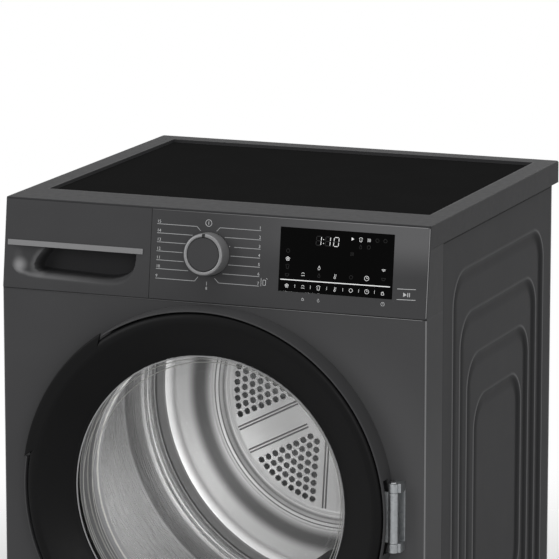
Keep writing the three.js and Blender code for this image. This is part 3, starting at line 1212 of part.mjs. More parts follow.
function addHeatPump() {
  piece('evaporator_coil', ZINC, coil(EVAPORATOR_FRONT, EVAPORATOR_DEPTH));
  piece('condenser_coil', COPPER, coil(CONDENSER_FRONT, CONDENSER_DEPTH));
  const floor = FLOOR_CLEARANCE + TRAY_FLOOR;
  const compressor = new THREE.LatheGeometry([
    [0, 0],
    [COMPRESSOR_RADIUS + COMPRESSOR_FOOT, 0],
    [COMPRESSOR_RADIUS + COMPRESSOR_FOOT, COMPRESSOR_FOOT],
    [COMPRESSOR_RADIUS, COMPRESSOR_FOOT],
    [COMPRESSOR_RADIUS, COMPRESSOR_HEIGHT - COMPRESSOR_SHOULDER],
    [COMPRESSOR_RADIUS - COMPRESSOR_CHAMFER, COMPRESSOR_HEIGHT - COMPRESSOR_DOME],
    [COMPRESSOR_CROWN_RADIUS, COMPRESSOR_HEIGHT],
    [0, COMPRESSOR_HEIGHT],
  ].map(([r, h]) => new THREE.Vector2(r, h)), 32)
    .rotateX(Math.PI / 2)
    .translate(COMPRESSOR_X, FRONT + COMPRESSOR_DEPTH_AT, floor);
  piece('compressor', BLACK_MATTE, join(compressor));
  piece('drain_pump', BLACK_MATTE, join(
    post(PUMP_RADIUS, [floor, floor + PUMP_HEIGHT], { x: PUMP_X, y: FRONT + PUMP_DEPTH_AT }),
    rod(PUMP_SPOUT_RADIUS, behind(PUMP_DEPTH_AT, PUMP_DEPTH_AT + PUMP_RADIUS + PUMP_SPOUT),
      { x: PUMP_X, z: floor + PUMP_HEIGHT - PUMP_SPOUT, sides: 12 }),
  ));
}

// ---------------------------------------------------------------------------
// Motor, belt, idler and fan
// ---------------------------------------------------------------------------

// The open belt's two straight runs touch the drum and the pulley at the same angle.
function beltAngles() {
  const reach = Math.hypot(MOTOR_X, MOTOR_Z - DRUM_Z);
  const line = Math.atan2(MOTOR_Z - DRUM_Z, MOTOR_X);
  const spread = Math.acos((DRUM_RADIUS - PULLEY_RADIUS) / reach);
  return { right: line + spread, left: line - spread };
}

function beltOutline(offset) {
  const { left, right } = beltAngles();
  const shape = new THREE.Shape();
  shape.absarc(0, DRUM_Z, DRUM_RADIUS + offset, right, left + 2 * Math.PI, false);
  shape.absarc(MOTOR_X, MOTOR_Z, PULLEY_RADIUS + offset, left, right, false);
  return shape;
}

// How far the faceted belt stands off the drum so that its flats stay clear.
function beltStandoff() {
  const { left, right } = beltAngles();
  const halfStep = (left + 2 * Math.PI - right) / (4 * BELT_SEGMENTS);
  return (DRUM_RADIUS + GAP) / Math.cos(halfStep) - DRUM_RADIUS;
}

function addBelt() {
  const y = behind(BELT_FRONT, BELT_FRONT + BELT_WIDTH);
  const inner = beltStandoff();
  piece('drum_belt', RUBBER, cut(
    pushedY(beltOutline(inner + BELT_THICKNESS), y, BELT_SEGMENTS),
    pushedY(beltOutline(inner), [y[0] - 1, y[1] + 1], BELT_SEGMENTS),
  ));
}

function addMotor() {
  const place = { x: MOTOR_X, z: MOTOR_Z, sides: 24 };
  piece('motor', ZINC, turned([
    [boreRadius(MOTOR_SHAFT_RADIUS), FRONT + MOTOR_FRONT],
    [MOTOR_RADIUS - MOTOR_END_TAPER, FRONT + MOTOR_FRONT],
    [MOTOR_RADIUS, FRONT + MOTOR_FRONT + MOTOR_END_DEPTH],
    [MOTOR_RADIUS, FRONT + MOTOR_REAR - MOTOR_END_DEPTH],
    [MOTOR_RADIUS - MOTOR_END_TAPER, FRONT + MOTOR_REAR],
    [boreRadius(MOTOR_SHAFT_RADIUS), FRONT + MOTOR_REAR],
  ], place));
  const lip = PULLEY_RADIUS + PULLEY_LIP;
  const fanEnd = FRONT + FAN_FRONT + FAN_HOUSING_WALL + FAN_END_ROOM;
  const groove = behind(BELT_FRONT - PULLEY_LIP_WIDTH / 2, BELT_FRONT + BELT_WIDTH + PULLEY_LIP_WIDTH / 2);
  piece('motor_shaft', STEEL, turned([
    [0, fanEnd],
    [MOTOR_SHAFT_RADIUS, fanEnd],
    [MOTOR_SHAFT_RADIUS, groove[0] - PULLEY_LIP_WIDTH],
    [lip, groove[0] - PULLEY_LIP_WIDTH],
    [lip, groove[0]],
    [PULLEY_RADIUS, groove[0]],
    [PULLEY_RADIUS, groove[1]],
    [lip, groove[1]],
    [lip, groove[1] + PULLEY_LIP_WIDTH],
    [0, groove[1] + PULLEY_LIP_WIDTH],
  ], place));
}

// The idler presses on the belt's lower run from outside, halfway along it.
function idlerCentre() {
  const { left } = beltAngles();
  const outward = [Math.cos(left), Math.sin(left)];
  const onDrum = [DRUM_RADIUS * outward[0], DRUM_Z + DRUM_RADIUS * outward[1]];
  const onPulley = [MOTOR_X + PULLEY_RADIUS * outward[0], MOTOR_Z + PULLEY_RADIUS * outward[1]];
  const reach = beltStandoff() + BELT_THICKNESS + GAP + IDLER_RADIUS;
  return {
    x: (onDrum[0] + onPulley[0]) / 2 + reach * outward[0],
    z: (onDrum[1] + onPulley[1]) / 2 + reach * outward[1],
  };
}

function addIdler() {
  const centre = idlerCentre();
  const armY = [FRONT + IDLER_ARM_FRONT, FRONT + IDLER_ARM_FRONT + IDLER_ARM_THICKNESS];
  const dx = centre.x - IDLER_PIVOT_X;
  const dz = centre.z - IDLER_PIVOT_Z;
  const length = Math.hypot(dx, dz);
  const bar = block([0, length], armY, [-IDLER_ARM_HALF, IDLER_ARM_HALF])
    .rotateY(-Math.atan2(dz, dx))
    .translate(IDLER_PIVOT_X, 0, IDLER_PIVOT_Z);
  piece('idler_arm', ZINC, join(
    bar,
    rod(IDLER_ARM_HALF, armY, { ...idlerPivot, sides: 24 }),
    rod(IDLER_ARM_HALF, armY, { ...centre, sides: 24 }),
    rod(IDLER_PIN_RADIUS, [FRONT + BELT_FRONT - IDLER_ROOM, armY[0] + 1], { ...centre, sides: 16 }),
    rod(IDLER_PIN_RADIUS, [armY[1] - 1, FRONT + IDLER_POST_FRONT + IDLER_POST],
      { ...idlerPivot, sides: 16 }),
  ));
  piece('idler_pulley', WHITE_PLASTIC, tube(boreRadius(IDLER_PIN_RADIUS), IDLER_RADIUS,
    behind(BELT_FRONT, BELT_FRONT + BELT_WIDTH), { ...centre, sides: 24 }));
}

function addFan() {
  const place = { x: MOTOR_X, z: MOTOR_Z, sides: 24 };
  const y0 = FAN_FRONT + FAN_HOUSING_WALL + FAN_END_ROOM;
  const hub = tube(boreRadius(MOTOR_SHAFT_RADIUS), MOTOR_SHAFT_RADIUS + FAN_HUB,
    behind(y0, y0 + FAN_BLADE_DEPTH), place);
  const disc = tube(boreRadius(MOTOR_SHAFT_RADIUS), FAN_RADIUS,
    behind(y0 + FAN_BLADE_DEPTH - FAN_DISC, y0 + FAN_BLADE_DEPTH), place);
  const blades = Array.from({ length: FAN_BLADES }, (_, number) => block(
    [MOTOR_SHAFT_RADIUS + FAN_HUB - FAN_DISC, FAN_RADIUS - FAN_DISC], behind(y0, y0 + FAN_BLADE_DEPTH),
    [-FAN_DISC / 2, FAN_DISC / 2])
    .rotateY((number * 2 * Math.PI) / FAN_BLADES)
    .translate(MOTOR_X, 0, MOTOR_Z));
  piece('fan_impeller', BLACK_MATTE, join(hub, disc, ...blades));
  const x = [MOTOR_X - FAN_HOUSING_HALF, MOTOR_X + FAN_HOUSING_HALF];
  const z = [FLOOR_CLEARANCE + TRAY_FLOOR, MOTOR_Z + FAN_HOUSING_HALF];
  const y = behind(FAN_FRONT, FAN_FRONT + FAN_HOUSING_DEPTH);
  piece('fan_housing', WHITE_PLASTIC, cut(
    block(x, y, z),
    rod(FAN_RADIUS + FAN_TIP_ROOM, [y[0] + FAN_HOUSING_WALL, y[1] - FAN_HOUSING_WALL],
      { ...place, sides: 36 }),
    rod(FAN_INLET_RADIUS, [y[0] - 1, y[0] + FAN_HOUSING_WALL + 1], place),
    rod(MOTOR_SHAFT_RADIUS + FAN_END_ROOM, [y[1] - FAN_HOUSING_WALL - 1, y[1] + 1], place),
  ));
}

// ---------------------------------------------------------------------------
// Rear
// ---------------------------------------------------------------------------

function addRear() {
  const x = [-SIDE_FACE, SIDE_FACE];
  const shaftHole = boreRadius(SHAFT_RADIUS + 4, 32);
  piece('rear_panel', PAINT, cut(
    block(x, [REAR - SHEET, REAR], [FLOOR_CLEARANCE, WORKTOP_BOTTOM]),
    rod(shaftHole, [REAR - 10, REAR + 1], { z: DRUM_Z, sides: 32 }),
    rod(GLAND_NECK_RADIUS + GAP, [REAR - 10, REAR + 1], { x: GLAND_X, z: GLAND_Z }),
  ));
  const bracketY = [REAR - SHEET - BRACKET_THICKNESS, REAR - SHEET];
  piece('bearing_bracket', ZINC, cut(
    join(
      block([-BRACKET_WIDTH / 2, BRACKET_WIDTH / 2], bracketY,
        [DRUM_Z - BRACKET_HEIGHT / 2, DRUM_Z + BRACKET_HEIGHT / 2]),
      block([-BRACKET_HEIGHT / 2, BRACKET_HEIGHT / 2], bracketY,
        [DRUM_Z - BRACKET_WIDTH / 2, DRUM_Z + BRACKET_WIDTH / 2]),
    ),
    rod(boreRadius(BUSH_RADIUS, 32), [bracketY[0] - 1, bracketY[1] + 1], { z: DRUM_Z, sides: 32 }),
  ));
  piece('shaft_bush', BLACK_MATTE, tube(boreRadius(SHAFT_RADIUS, 32), BUSH_RADIUS, bracketY,
    { z: DRUM_Z, sides: 32 }));
  const coverX = [-REAR_COVER_HALF, REAR_COVER_HALF];
  const coverZ = [REAR_COVER_BOTTOM, REAR_COVER_TOP];
  const shrink = ([low, high]) => [low + PLASTIC, high - PLASTIC];
  piece('rear_cover', PAINT, cut(
    pushedY(roundedRectangle(coverX, coverZ, REAR_COVER_CORNER), [REAR, REAR + REAR_COVER_DEPTH]),
    pushedY(roundedRectangle(shrink(coverX), shrink(coverZ), REAR_COVER_CORNER - PLASTIC),
      [REAR - 1, REAR + REAR_COVER_DEPTH - PLASTIC]),
  ));
  piece('cord_gland', BLACK_MATTE, cut(
    join(
      rod(GLAND_RADIUS, [REAR, REAR + GLAND_DEPTH], { x: GLAND_X, z: GLAND_Z }),
      rod(GLAND_NECK_RADIUS, [REAR - SHEET - GLAND_GRIP, REAR + 1], { x: GLAND_X, z: GLAND_Z }),
    ),
    rod(GLAND_BORE, [REAR - 20, REAR + GLAND_DEPTH + 1], { x: GLAND_X, z: GLAND_Z }),
  ));
}

addWorktop();
addFrontPanel();
addSidePanels();
addPlinth();
addServiceFlap();
addFascia();
addDisplay();
addKnob();
addDrawerFront();
addTank();
addTankHousing();
addDoorRing();
addDoorBezel();
addDoorWindow();
addDoorFrame();
addDoorSeal();
addHinge();
addLatch();
addDrum();
addLifters();
addBulkhead();
addRollers();
addLintFilter();
addBaseTray();
addFeet();
addHeatPump();
addBelt();
addMotor();
addIdler();
addFan();
addRear();

export default dryer;
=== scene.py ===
# %% [markdown]
# # A clothes dryer around its CAD frame
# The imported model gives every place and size. This script gives each piece its final shape and finish.
# Everything is built in millimetres and made metres at the end, because a dryer's drawings are in
# millimetres.

# %% Load the frame and keep its box
import json
import math

import bmesh
import bpy
from mathutils import Matrix, Vector


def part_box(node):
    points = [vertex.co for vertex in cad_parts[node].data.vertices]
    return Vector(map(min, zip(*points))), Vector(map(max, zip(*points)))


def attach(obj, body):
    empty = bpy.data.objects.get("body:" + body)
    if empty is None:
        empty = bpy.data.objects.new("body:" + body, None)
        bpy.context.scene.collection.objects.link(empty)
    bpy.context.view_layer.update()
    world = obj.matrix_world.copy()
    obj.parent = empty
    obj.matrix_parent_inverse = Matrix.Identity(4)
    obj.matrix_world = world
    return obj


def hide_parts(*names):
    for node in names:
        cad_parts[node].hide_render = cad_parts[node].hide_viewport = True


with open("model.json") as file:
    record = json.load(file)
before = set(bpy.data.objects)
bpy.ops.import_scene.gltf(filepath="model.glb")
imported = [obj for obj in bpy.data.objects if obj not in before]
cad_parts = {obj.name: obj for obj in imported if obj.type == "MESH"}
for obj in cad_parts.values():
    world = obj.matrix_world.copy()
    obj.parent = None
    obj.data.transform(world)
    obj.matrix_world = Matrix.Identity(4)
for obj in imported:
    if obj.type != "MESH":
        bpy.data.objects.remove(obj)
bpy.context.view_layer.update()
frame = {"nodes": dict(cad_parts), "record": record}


def box_mm(node):
    low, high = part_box(node)
    return low * 1000, high * 1000


def added(name, data):
    """A new object in the scene."""
    item = bpy.data.objects.new(name, data)
    bpy.context.scene.collection.objects.link(item)
    return item


# %% [markdown]
# ## Main places
# The worktop gives the width, height and depth, and the front panel gives the face that the door hangs
# on. The control fascia leans back, so it gets its own flat sheet: x along it, s down it and proud
# towards the viewer. One matrix puts that sheet in its place, which is easier to read than a lean
# worked into every number.

# %% Main places
top_low, top_high = box_mm("worktop_frame")
panel_low, panel_high = box_mm("front_panel")
HALF = top_high.x
FRONT = panel_low.y
CHEEK = panel_high.y
FACE = top_low.y
DECK = top_high.z
SLAB = top_low.z
FASCIA_TOP = DECK - 1.7
FASCIA_FOOT = panel_high.z + 0.6
LEAN = FACE - FRONT
SLOPE = math.hypot(FASCIA_TOP - FASCIA_FOOT, LEAN)
TILT = -math.atan2(LEAN, FASCIA_TOP - FASCIA_FOOT)
FASCIA = Matrix.Translation((0, FACE, FASCIA_TOP)) @ Matrix.Rotation(TILT, 4, "X")
door_low, door_high = box_mm("door_frame")
DOOR_Z = (door_low.z + door_high.z) / 2
DRUM_Z = sum(v.z for v in box_mm("drum_shaft")) / 2


def on_face(x, s, proud=0.0):
    return FASCIA @ Vector((x, -proud, -s))


print("door at", round(DOOR_Z, 1), "drum at", round(DRUM_Z, 1), "slope", round(SLOPE, 1))

# %% [markdown]
# ## Camera
# A long lens far away, at the right of the dryer and a little above it, keeps the verticals nearly
# upright. The camera's axes are built from the way it looks back, so nothing has to be aimed.

# %% Camera
CAMERA_PLACE = (2.0623, -5.2905, 1.8453)
CAMERA_BACK = (0.35745, -0.91303, 0.19646)
FOCAL_LENGTH = 273.7
SENSOR_WIDTH = 36


def add_camera():
    back = Vector(CAMERA_BACK).normalized()
    right = Vector((0, 0, 1)).cross(back).normalized()
    axes = Matrix((right, back.cross(right), back)).transposed().to_4x4()
    data = bpy.data.cameras.new("camera")
    data.sensor_width, data.lens, data.clip_end = SENSOR_WIDTH, FOCAL_LENGTH, 60
    camera = added("camera", data)
    camera.matrix_world = Matrix.Translation(CAMERA_PLACE) @ axes
    bpy.context.scene.camera = camera


add_camera()
print("camera set")

# %% [markdown]
# ## A small writer for node trees
# Shader sums read best as Python sums. A Wire holds one output socket, and each operator adds a Math
# node. A Graph adds any node from its type, its settings and its inputs, in that order.

# %% Wire and Graph
def operator(operation, swapped=False):
    """A Python operator that adds one Math node."""
    def add_node(wire, other):
        first, second = (other, wire) if swapped else (wire, other)
        return wire.graph.maths(operation, first, second)

    return add_node


class Wire:
    """One output of a node, which can be used in sums."""

    __add__, __radd__ = operator("ADD"), operator("ADD", swapped=True)
    __sub__, __rsub__ = operator("SUBTRACT"), operator("SUBTRACT", swapped=True)
    __mul__, __rmul__ = operator("MULTIPLY"), operator("MULTIPLY", swapped=True)
    __truediv__, __mod__ = operator("DIVIDE"), operator("MODULO")
    __gt__, __lt__ = operator("GREATER_THAN"), operator("LESS_THAN")

    def __init__(self, graph, socket):
        self.graph = graph
        self.socket = socket


class Graph:
    """A node tree that is written one node at a time."""

    def __init__(self, tree):
        self.tree = tree

    def node(self, kind, settings=None, inputs=None, output=0):
        made = self.tree.nodes.new(kind)
        for name, value in (settings or {}).items():
            setattr(made, name, value)
        for name, value in (inputs or {}).items():
            self.feed(made.inputs[name], value)
        return None if output is None else Wire(self, made.outputs[output])

    def feed(self, socket, value):
        if isinstance(value, Wire):
            self.tree.links.new(value.socket, socket)
        else:
            socket.default_value = value

    def maths(self, operation, first, second=0.0):
        return self.node("ShaderNodeMath", {"operation": operation}, {0: first, 1: second})

    def vectors(self, operation, first, second=(0, 0, 0)):
        output = "Value" if operation in ("LENGTH", "DOT_PRODUCT") else "Vector"
        return self.node("ShaderNodeVectorMath", {"operation": operation}, {0: first, 1: second}, output)

    def smooth(self, value, start, end):
        """0 up to the start and 1 from the end on, with round shoulders."""
        return self.node("ShaderNodeMapRange", {"interpolation_type": "SMOOTHSTEP"}, {
            "Value": value, "From Min": start, "From Max": end})


print("graph writer ready")

# %% [markdown]
# ## Studio
# The room is white wherever it is seen, in a mirror or through glass, and dimmer as a light source.
# Soft lamps above, at the left and at the right do the rest, so that flat faces read as their own
# colour. The floor is pale near the dryer, where its shadow falls, and fades into the white room
# further out.

# %% Room, floor and lamps
AMBIENT = 0.42
FLOOR_RADIUS = 4
FLOOR_SIDES = 64
FLOOR_FADE = (0.9, 1.9)


def add_room():
    world = bpy.data.worlds.new("room")
    bpy.context.scene.world = world
    world.use_nodes = True
    graph = Graph(world.node_tree)
    world.node_tree.nodes.clear()
    rays = {name: graph.node("ShaderNodeLightPath", output=name)
            for name in ("Is Camera Ray", "Is Glossy Ray", "Is Transmission Ray")}
    seen = graph.node("ShaderNodeClamp", None, {
        "Value": rays["Is Camera Ray"] + rays["Is Glossy Ray"] + rays["Is Transmission Ray"]})
    light = graph.node("ShaderNodeBackground", None, {
        "Color": (1, 1, 1, 1), "Strength": AMBIENT + (1 - AMBIENT) * seen})
    graph.node("ShaderNodeOutputWorld", None, {"Surface": light}, output=None)


def add_floor():
    mesh = bpy.data.meshes.new("floor")
    turns = [math.tau * k / FLOOR_SIDES for k in range(FLOOR_SIDES)]
    ring = [(FLOOR_RADIUS * math.cos(a), FLOOR_RADIUS * math.sin(a), 0) for a in turns]
    mesh.from_pydata(ring, [], [list(range(FLOOR_SIDES))])
    material = bpy.data.materials.new("floor")
    material.use_nodes = True
    graph = Graph(material.node_tree)
    material.node_tree.nodes.clear()
    place = graph.node("ShaderNodeTexCoord", output="Object")
    fade = graph.smooth(graph.vectors("LENGTH", place), *FLOOR_FADE)
    pale = graph.node("ShaderNodeBsdfDiffuse", None, {"Color": (0.9, 0.9, 0.9, 1)})
    clear = graph.node("ShaderNodeBsdfTransparent")
    mixed = graph.node("ShaderNodeMixShader", None, {0: fade, 1: pale, 2: clear})
    graph.node("ShaderNodeOutputMaterial", None, {"Surface": mixed}, output=None)
    mesh.materials.append(material)
    added("floor", mesh)


def add_lamp(name, place, aim, size, watts):
    data = bpy.data.lights.new(name, "AREA")
    data.shape = "RECTANGLE"
    data.size, data.size_y = size
    data.energy = watts
    lamp = added(name, data)
    away = Vector(place) - Vector(aim)
    lamp.matrix_world = Matrix.Translation(place) @ away.to_track_quat("Z", "Y").to_matrix().to_4x4()
    lamp.visible_camera = False


bpy.context.scene.view_settings.view_transform = "Standard"
add_room()
add_floor()
add_lamp("lamp_above", (0.0, -0.3, 2.6), (0, 0, 0.8), (2.2, 2.2), 16)
add_lamp("lamp_front_left", (-2.4, -2.6, 1.9), (0, 0, 0.6), (1.6, 2.0), 30)
add_lamp("lamp_right", (1.5, -3.4, 1.5), (0.2, 0, 0.5), (1.2, 1.6), 20)
add_lamp("lamp_rear", (0.6, 2.8, 1.6), (0, 0, 0.6), (2.0, 1.6), 18)
print("studio ready")

# %% [markdown]
# ## Finishes
# Each finish is a Principled shader with a pattern in the object's own space: broad clouds that shift
# the colour a little, and a fine grain that feeds a Bump node. Painted sheet has a soft orange peel,
# moulded covers have a spark-eroded grain, and rolled steel has long scratches. The pattern's size is
# given as the grain in millimetres.

# %% Finish
def hue(code):
    """A colour as it is written for the screen, made linear."""
    shares = [int(code[at:at + 2], 16) / 255 for at in (1, 3, 5)]
    return [v / 12.92 if v <= 0.04045 else ((v + 0.055) / 1.055) ** 2.4 for v in shares] + [1.0]


class Finish(Graph):
    """A material with one Principled shader."""

    def __init__(self, name, **fixed):
        self.material = bpy.data.materials.new(name)
        self.material.use_nodes = True
        super().__init__(self.material.node_tree)
        self.shader = self.tree.nodes["Principled BSDF"]
        for name, value in fixed.items():
            self.shader.inputs[name.replace("_", " ")].default_value = value
        self.place = self.node("ShaderNodeTexCoord", output="Object")

    def grain(self, size, detail=2.0, stretch=(1, 1, 1)):
        """Noise from 0 to 1 with features of size millimetres, longer where stretch is above 1."""
        scaled = self.vectors("MULTIPLY", self.place, [1000 / (size * way) for way in stretch])
        return self.node("ShaderNodeTexNoise", None, {"Vector": scaled, "Scale": 1.0, "Detail": detail})

    def marked(self, name):
        """The values that a shape's vertices carry under this name."""
        return self.node("ShaderNodeAttribute", {"attribute_name": name}, output="Fac")

    def mix(self, share, first, second):
        """Two colours mixed by a share; a colour is a code or a wire."""
        first, second = (hue(colour) if isinstance(colour, str) else colour for colour in (first, second))
        return self.node("ShaderNodeMix", {"data_type": "RGBA"}, {0: share, 6: first, 7: second}, output=2)

    def colours(self, share, first, second):
        self.feed(self.shader.inputs["Base Color"], self.mix(share, first, second))
        return self

    def rough(self, middle, share, swing):
        self.feed(self.shader.inputs["Roughness"], middle + swing * (share - 0.5))
        return self

    def relief(self, height, depth, strength=1.0):
        """Bump of depth millimetres."""
        bump = self.node("ShaderNodeBump", None, {
            "Height": height, "Distance": depth / 1000, "Strength": strength}, output="Normal")
        self.feed(self.shader.inputs["Normal"], bump)
        return self

    def eroded(self, roughness=0.42, grain=0.45, depth=0.02):
        """The grain of a moulding from a spark-eroded tool."""
        return self.rough(roughness, self.grain(9), 0.12).relief(self.grain(grain, 1), depth, 0.35)

    def sprayed(self):
        """The orange peel of sprayed enamel."""
        peel = self.grain(2.2, 1) + 0.25 * self.grain(0.5, 1)
        return self.rough(0.44, self.grain(25), 0.08).relief(peel, 0.03, 0.3)


FINISH = {}


def keep(name, finish):
    FINISH[name] = finish.material
    print("finish", name, len(finish.tree.nodes), "nodes")


def moulded(name, dark, light, roughness, grain, depth, shine=0.5):
    finish = Finish(name, Specular_IOR_Level=shine)
    keep(name, finish.colours(finish.grain(60, 3), dark, light).eroded(roughness, grain, depth))


moulded("cover_grey", "#444445", "#4a4a4b", 0.42, 0.45, 0.02, 0.025)
moulded("ring_grey", "#474748", "#4c4c4d", 0.42, 0.45, 0.02, 0.02)
moulded("seam_grey", "#303031", "#343435", 0.6, 0.8, 0.02, 0.05)
moulded("edge_grey", "#949495", "#9c9c9d", 0.4, 0.45, 0.01, 0.2)
moulded("fold_grey", "#868687", "#8e8e8f", 0.4, 0.45, 0.01, 0.1)
moulded("skirt_grey", "#727273", "#7a7a7b", 0.4, 0.45, 0.01, 0.1)
moulded("white_moulding", "#cfcfcb", "#dadad6", 0.45, 0.8, 0.03)
moulded("inner_black", "#161617", "#1e1e1f", 0.6, 0.6, 0.03, 0.3)
moulded("rubber", "#191919", "#222222", 0.85, 1.2, 0.05, 0.2)
moulded("door_black", "#111111", "#141415", 0.34, 0.5, 0.006, 0.08)
moulded("inset_black", "#1c1c1c", "#1f1f1f", 0.6, 0.35, 0.01, 0.0)
moulded("dull_zinc", "#bcbdbe", "#c8c9ca", 0.7, 0.8, 0.03, 0.2)
moulded("grey_moulding", "#98989a", "#a2a2a3", 0.45, 0.8, 0.03, 0.25)

# %% [markdown]
# ## Painted sheet
# The cabinet's steel is sprayed with a satin enamel. Under a strip lamp it shows a faint orange peel
# about two millimetres across, which is what tells paint from plastic. The front panel's enamel is
# painted light: it is a shade lighter towards the right, a painted highlight where the light falls stronger,
# and round the door, which lifts the shade that the door casts on it. The inner side of the rear panel
# is left bare, so it shows its dull zinc.

# %% Enamel
def enamel(name, layers=()):
    """A layer is a coordinate, weights, a centre, two distances and the grey from the second on."""
    finish = Finish(name, Specular_IOR_Level=0.012)
    mixed = finish.mix(finish.grain(120, 2), "#484849", "#4d4d4e")
    for kind, weights, centre, ends, grey in layers:
        from_centre = finish.vectors("SUBTRACT", finish.node("ShaderNodeTexCoord", output=kind), centre)
        away = finish.vectors("LENGTH", finish.vectors("MULTIPLY", from_centre, weights))
        mixed = finish.mix(finish.smooth(away, *ends), mixed, grey)
    finish.feed(finish.shader.inputs["Base Color"], mixed)
    keep(name, finish.sprayed())


enamel("enamel")
# Painted light on the front: lighter to the right, and lighter round the door against the door's shade.
enamel("front_enamel", [("Object", (1, 0, 0), (-0.3, 0, 0), (0.1, 0.6), "#4e4e4f"),
                        ("Object", (1, 0, 1), (0.1, 0, DOOR_Z / 1000), (0.28, 0.17), "#585859")])
enamel("lined_enamel", [("Normal", (1, 1, 1), (0, -1, 0), (0.5, 0.2), "#c2c3c4")])

# %% [markdown]
# ## Fascia grey
# The fascia's face is painted lighter towards its upper right corner, and so is the fine lip under
# it: a painted highlight for the light that the leaning face reflects there. The share of the way
# along, the share of the way up and the share that faces the front multiply, and mix two greys. The
# right cheek is painted a shade darker than the face, which is painted shade on that side of the same
# moulding.

# %% Fascia grey
def fascia_grey(name, along, up, light):
    finish = Finish(name, Specular_IOR_Level=0.025)
    facing = finish.node("ShaderNodeTexCoord", output="Normal")
    share = 1.0
    for wire, axis, ends in ((finish.place, (1, 0, 0), along), (finish.place, (0, 0, 1), up),
                             (facing, (0, -1, 0), (0.6, 0.95))):
        share = finish.smooth(finish.vectors("DOT_PRODUCT", wire, axis), *ends) * share
    # Painted highlight: up, to the right and where it faces the front, the face goes towards the light grey.
    face = finish.mix(share, finish.mix(finish.grain(60, 3), "#454546", "#4a4a4b"), light)
    # Painted shade: the cheek, which faces right, takes a darker grey of the same moulding.
    cheek = finish.vectors("DOT_PRODUCT", facing, (1, 0, 0)) > 0.9
    keep(name, finish.colours(cheek, face, "#414142").eroded())


fascia_grey("fascia_grey", (-0.05, 0.28), (0.774, 0.825), "#676768")
fascia_grey("lip_grey", (-0.3, 0.34), (0.0, 0.1), "#949495")

# %% [markdown]
# ## Metals
# Stainless steel is rolled, so its scratches run one way: round the drum, because its shell is rolled
# along its circumference. Zinc plating has soft crystals, and the trim and the knob are painted silver.

# %% Metals
def brushed(name, dark, light, roughness, stretch, metallic=1.0):
    finish = Finish(name, Metallic=metallic)
    scratches = finish.grain(0.7, 3, stretch)
    finish.colours(finish.grain(30, 2) * 0.5 + scratches * 0.5, dark, light)
    keep(name, finish.rough(roughness, scratches, 0.16).relief(scratches, 0.01, 0.25))


def zinc():
    finish = Finish("zinc", Metallic=0.85)
    crystals = finish.node("ShaderNodeTexVoronoi", None, {
        "Vector": finish.place, "Scale": 260.0}, output="Color")
    grey = finish.node("ShaderNodeRGBToBW", None, {"Color": crystals})
    finish.colours(grey, "#8f9294", "#a4a7a9")
    keep("zinc", finish.rough(0.42, grey, 0.14).relief(finish.grain(0.8), 0.01, 0.3))


brushed("drum_steel", "#c4c4c4", "#d6d6d6", 0.25, (60, 1, 60))
brushed("plain_steel", "#a9abad", "#bdbfc1", 0.32, (1, 30, 1))
brushed("silver", "#747475", "#7e7e7f", 0.42, (40, 1, 1), 0.1)
brushed("knob_silver", "#7e7e7f", "#888889", 0.34, (1, 1, 1), 0.25)
brushed("rib_steel", "#747474", "#828282", 0.35, (1, 1, 1), 0.5)
brushed("copper", "#a5693f", "#bb7c53", 0.35, (1, 12, 1), 0.9)
brushed("fin_aluminium", "#a3a5a7", "#b7b9bb", 0.4, (1, 12, 1), 0.9)
zinc()

# %% [markdown]
# ## Felt, circuit board, prints and glass
# Felt is all fuzz, so its bump is deep and its shine is gone. The board has faint tracks. The white
# prints are ink, barely proud. Thin glass is a clear pane with a faint mirror over it, which Fresnel
# makes stronger where the glass is seen at a slant.

# %% Felt, board, prints and glass
def felt():
    finish = Finish("felt", Roughness=1.0, Specular_IOR_Level=0.1)
    fuzz = finish.grain(1.6, 4)
    finish.colours(fuzz, "#4d4e4c", "#686966")
    keep("felt", finish.relief(fuzz, 0.4))


def board():
    finish = Finish("board", Specular_IOR_Level=0.3)
    tracks = finish.grain(3, 0, (12, 1, 1)) > 0.56
    finish.colours(tracks, "#234a31", "#3a6b48")
    keep("board", finish.rough(0.5, finish.grain(4), 0.2).relief(tracks, 0.05))


def ink(name, dark, light, glow=0.0):
    finish = Finish(name, Specular_IOR_Level=0.1)
    share = finish.grain(0.8, 1)
    finish.colours(share, dark, light)
    if glow:
        finish.shader.inputs["Emission Color"].default_value = hue(light)
        finish.shader.inputs["Emission Strength"].default_value = glow
    keep(name, finish.rough(0.6, share, 0.1))


def display_glass():
    finish = Finish("display_glass", Specular_IOR_Level=0.03)
    finish.colours(finish.grain(90, 1), "#030303", "#050505")
    keep("display_glass", finish.rough(0.12, finish.grain(30), 0.05))


def clear_glass():
    finish = Finish("clear_glass", Roughness=0.04, IOR=1.45)
    finish.colours(finish.grain(80, 1), "#e2e2e2", "#e9e9e9")
    pane = finish.node("ShaderNodeBsdfTransparent", None, {"Color": hue("#fbfbfb")})
    edge = finish.node("ShaderNodeFresnel", None, {"IOR": 1.45})
    mixed = finish.node("ShaderNodeMixShader", None, {0: edge * 0.06, 1: pane, 2: Wire(
        finish, finish.shader.outputs["BSDF"])})
    finish.feed(finish.tree.nodes["Material Output"].inputs["Surface"], mixed)
    finish.shader.inputs["Metallic"].default_value = 0.9
    keep("clear_glass", finish)


felt()
board()
ink("white_ink", "#c2c3c4", "#cfd0d1")
ink("display_white", "#d0d0d0", "#e6e6e6", 0.35)
ink("display_faint", "#2a2a2a", "#343434")
display_glass()
clear_glass()

# %% [markdown]
# ## Finishes for the CAD pieces that stay
# Pieces inside the cabinet keep their CAD mesh, because it is already right. They get the finish of
# their slot.

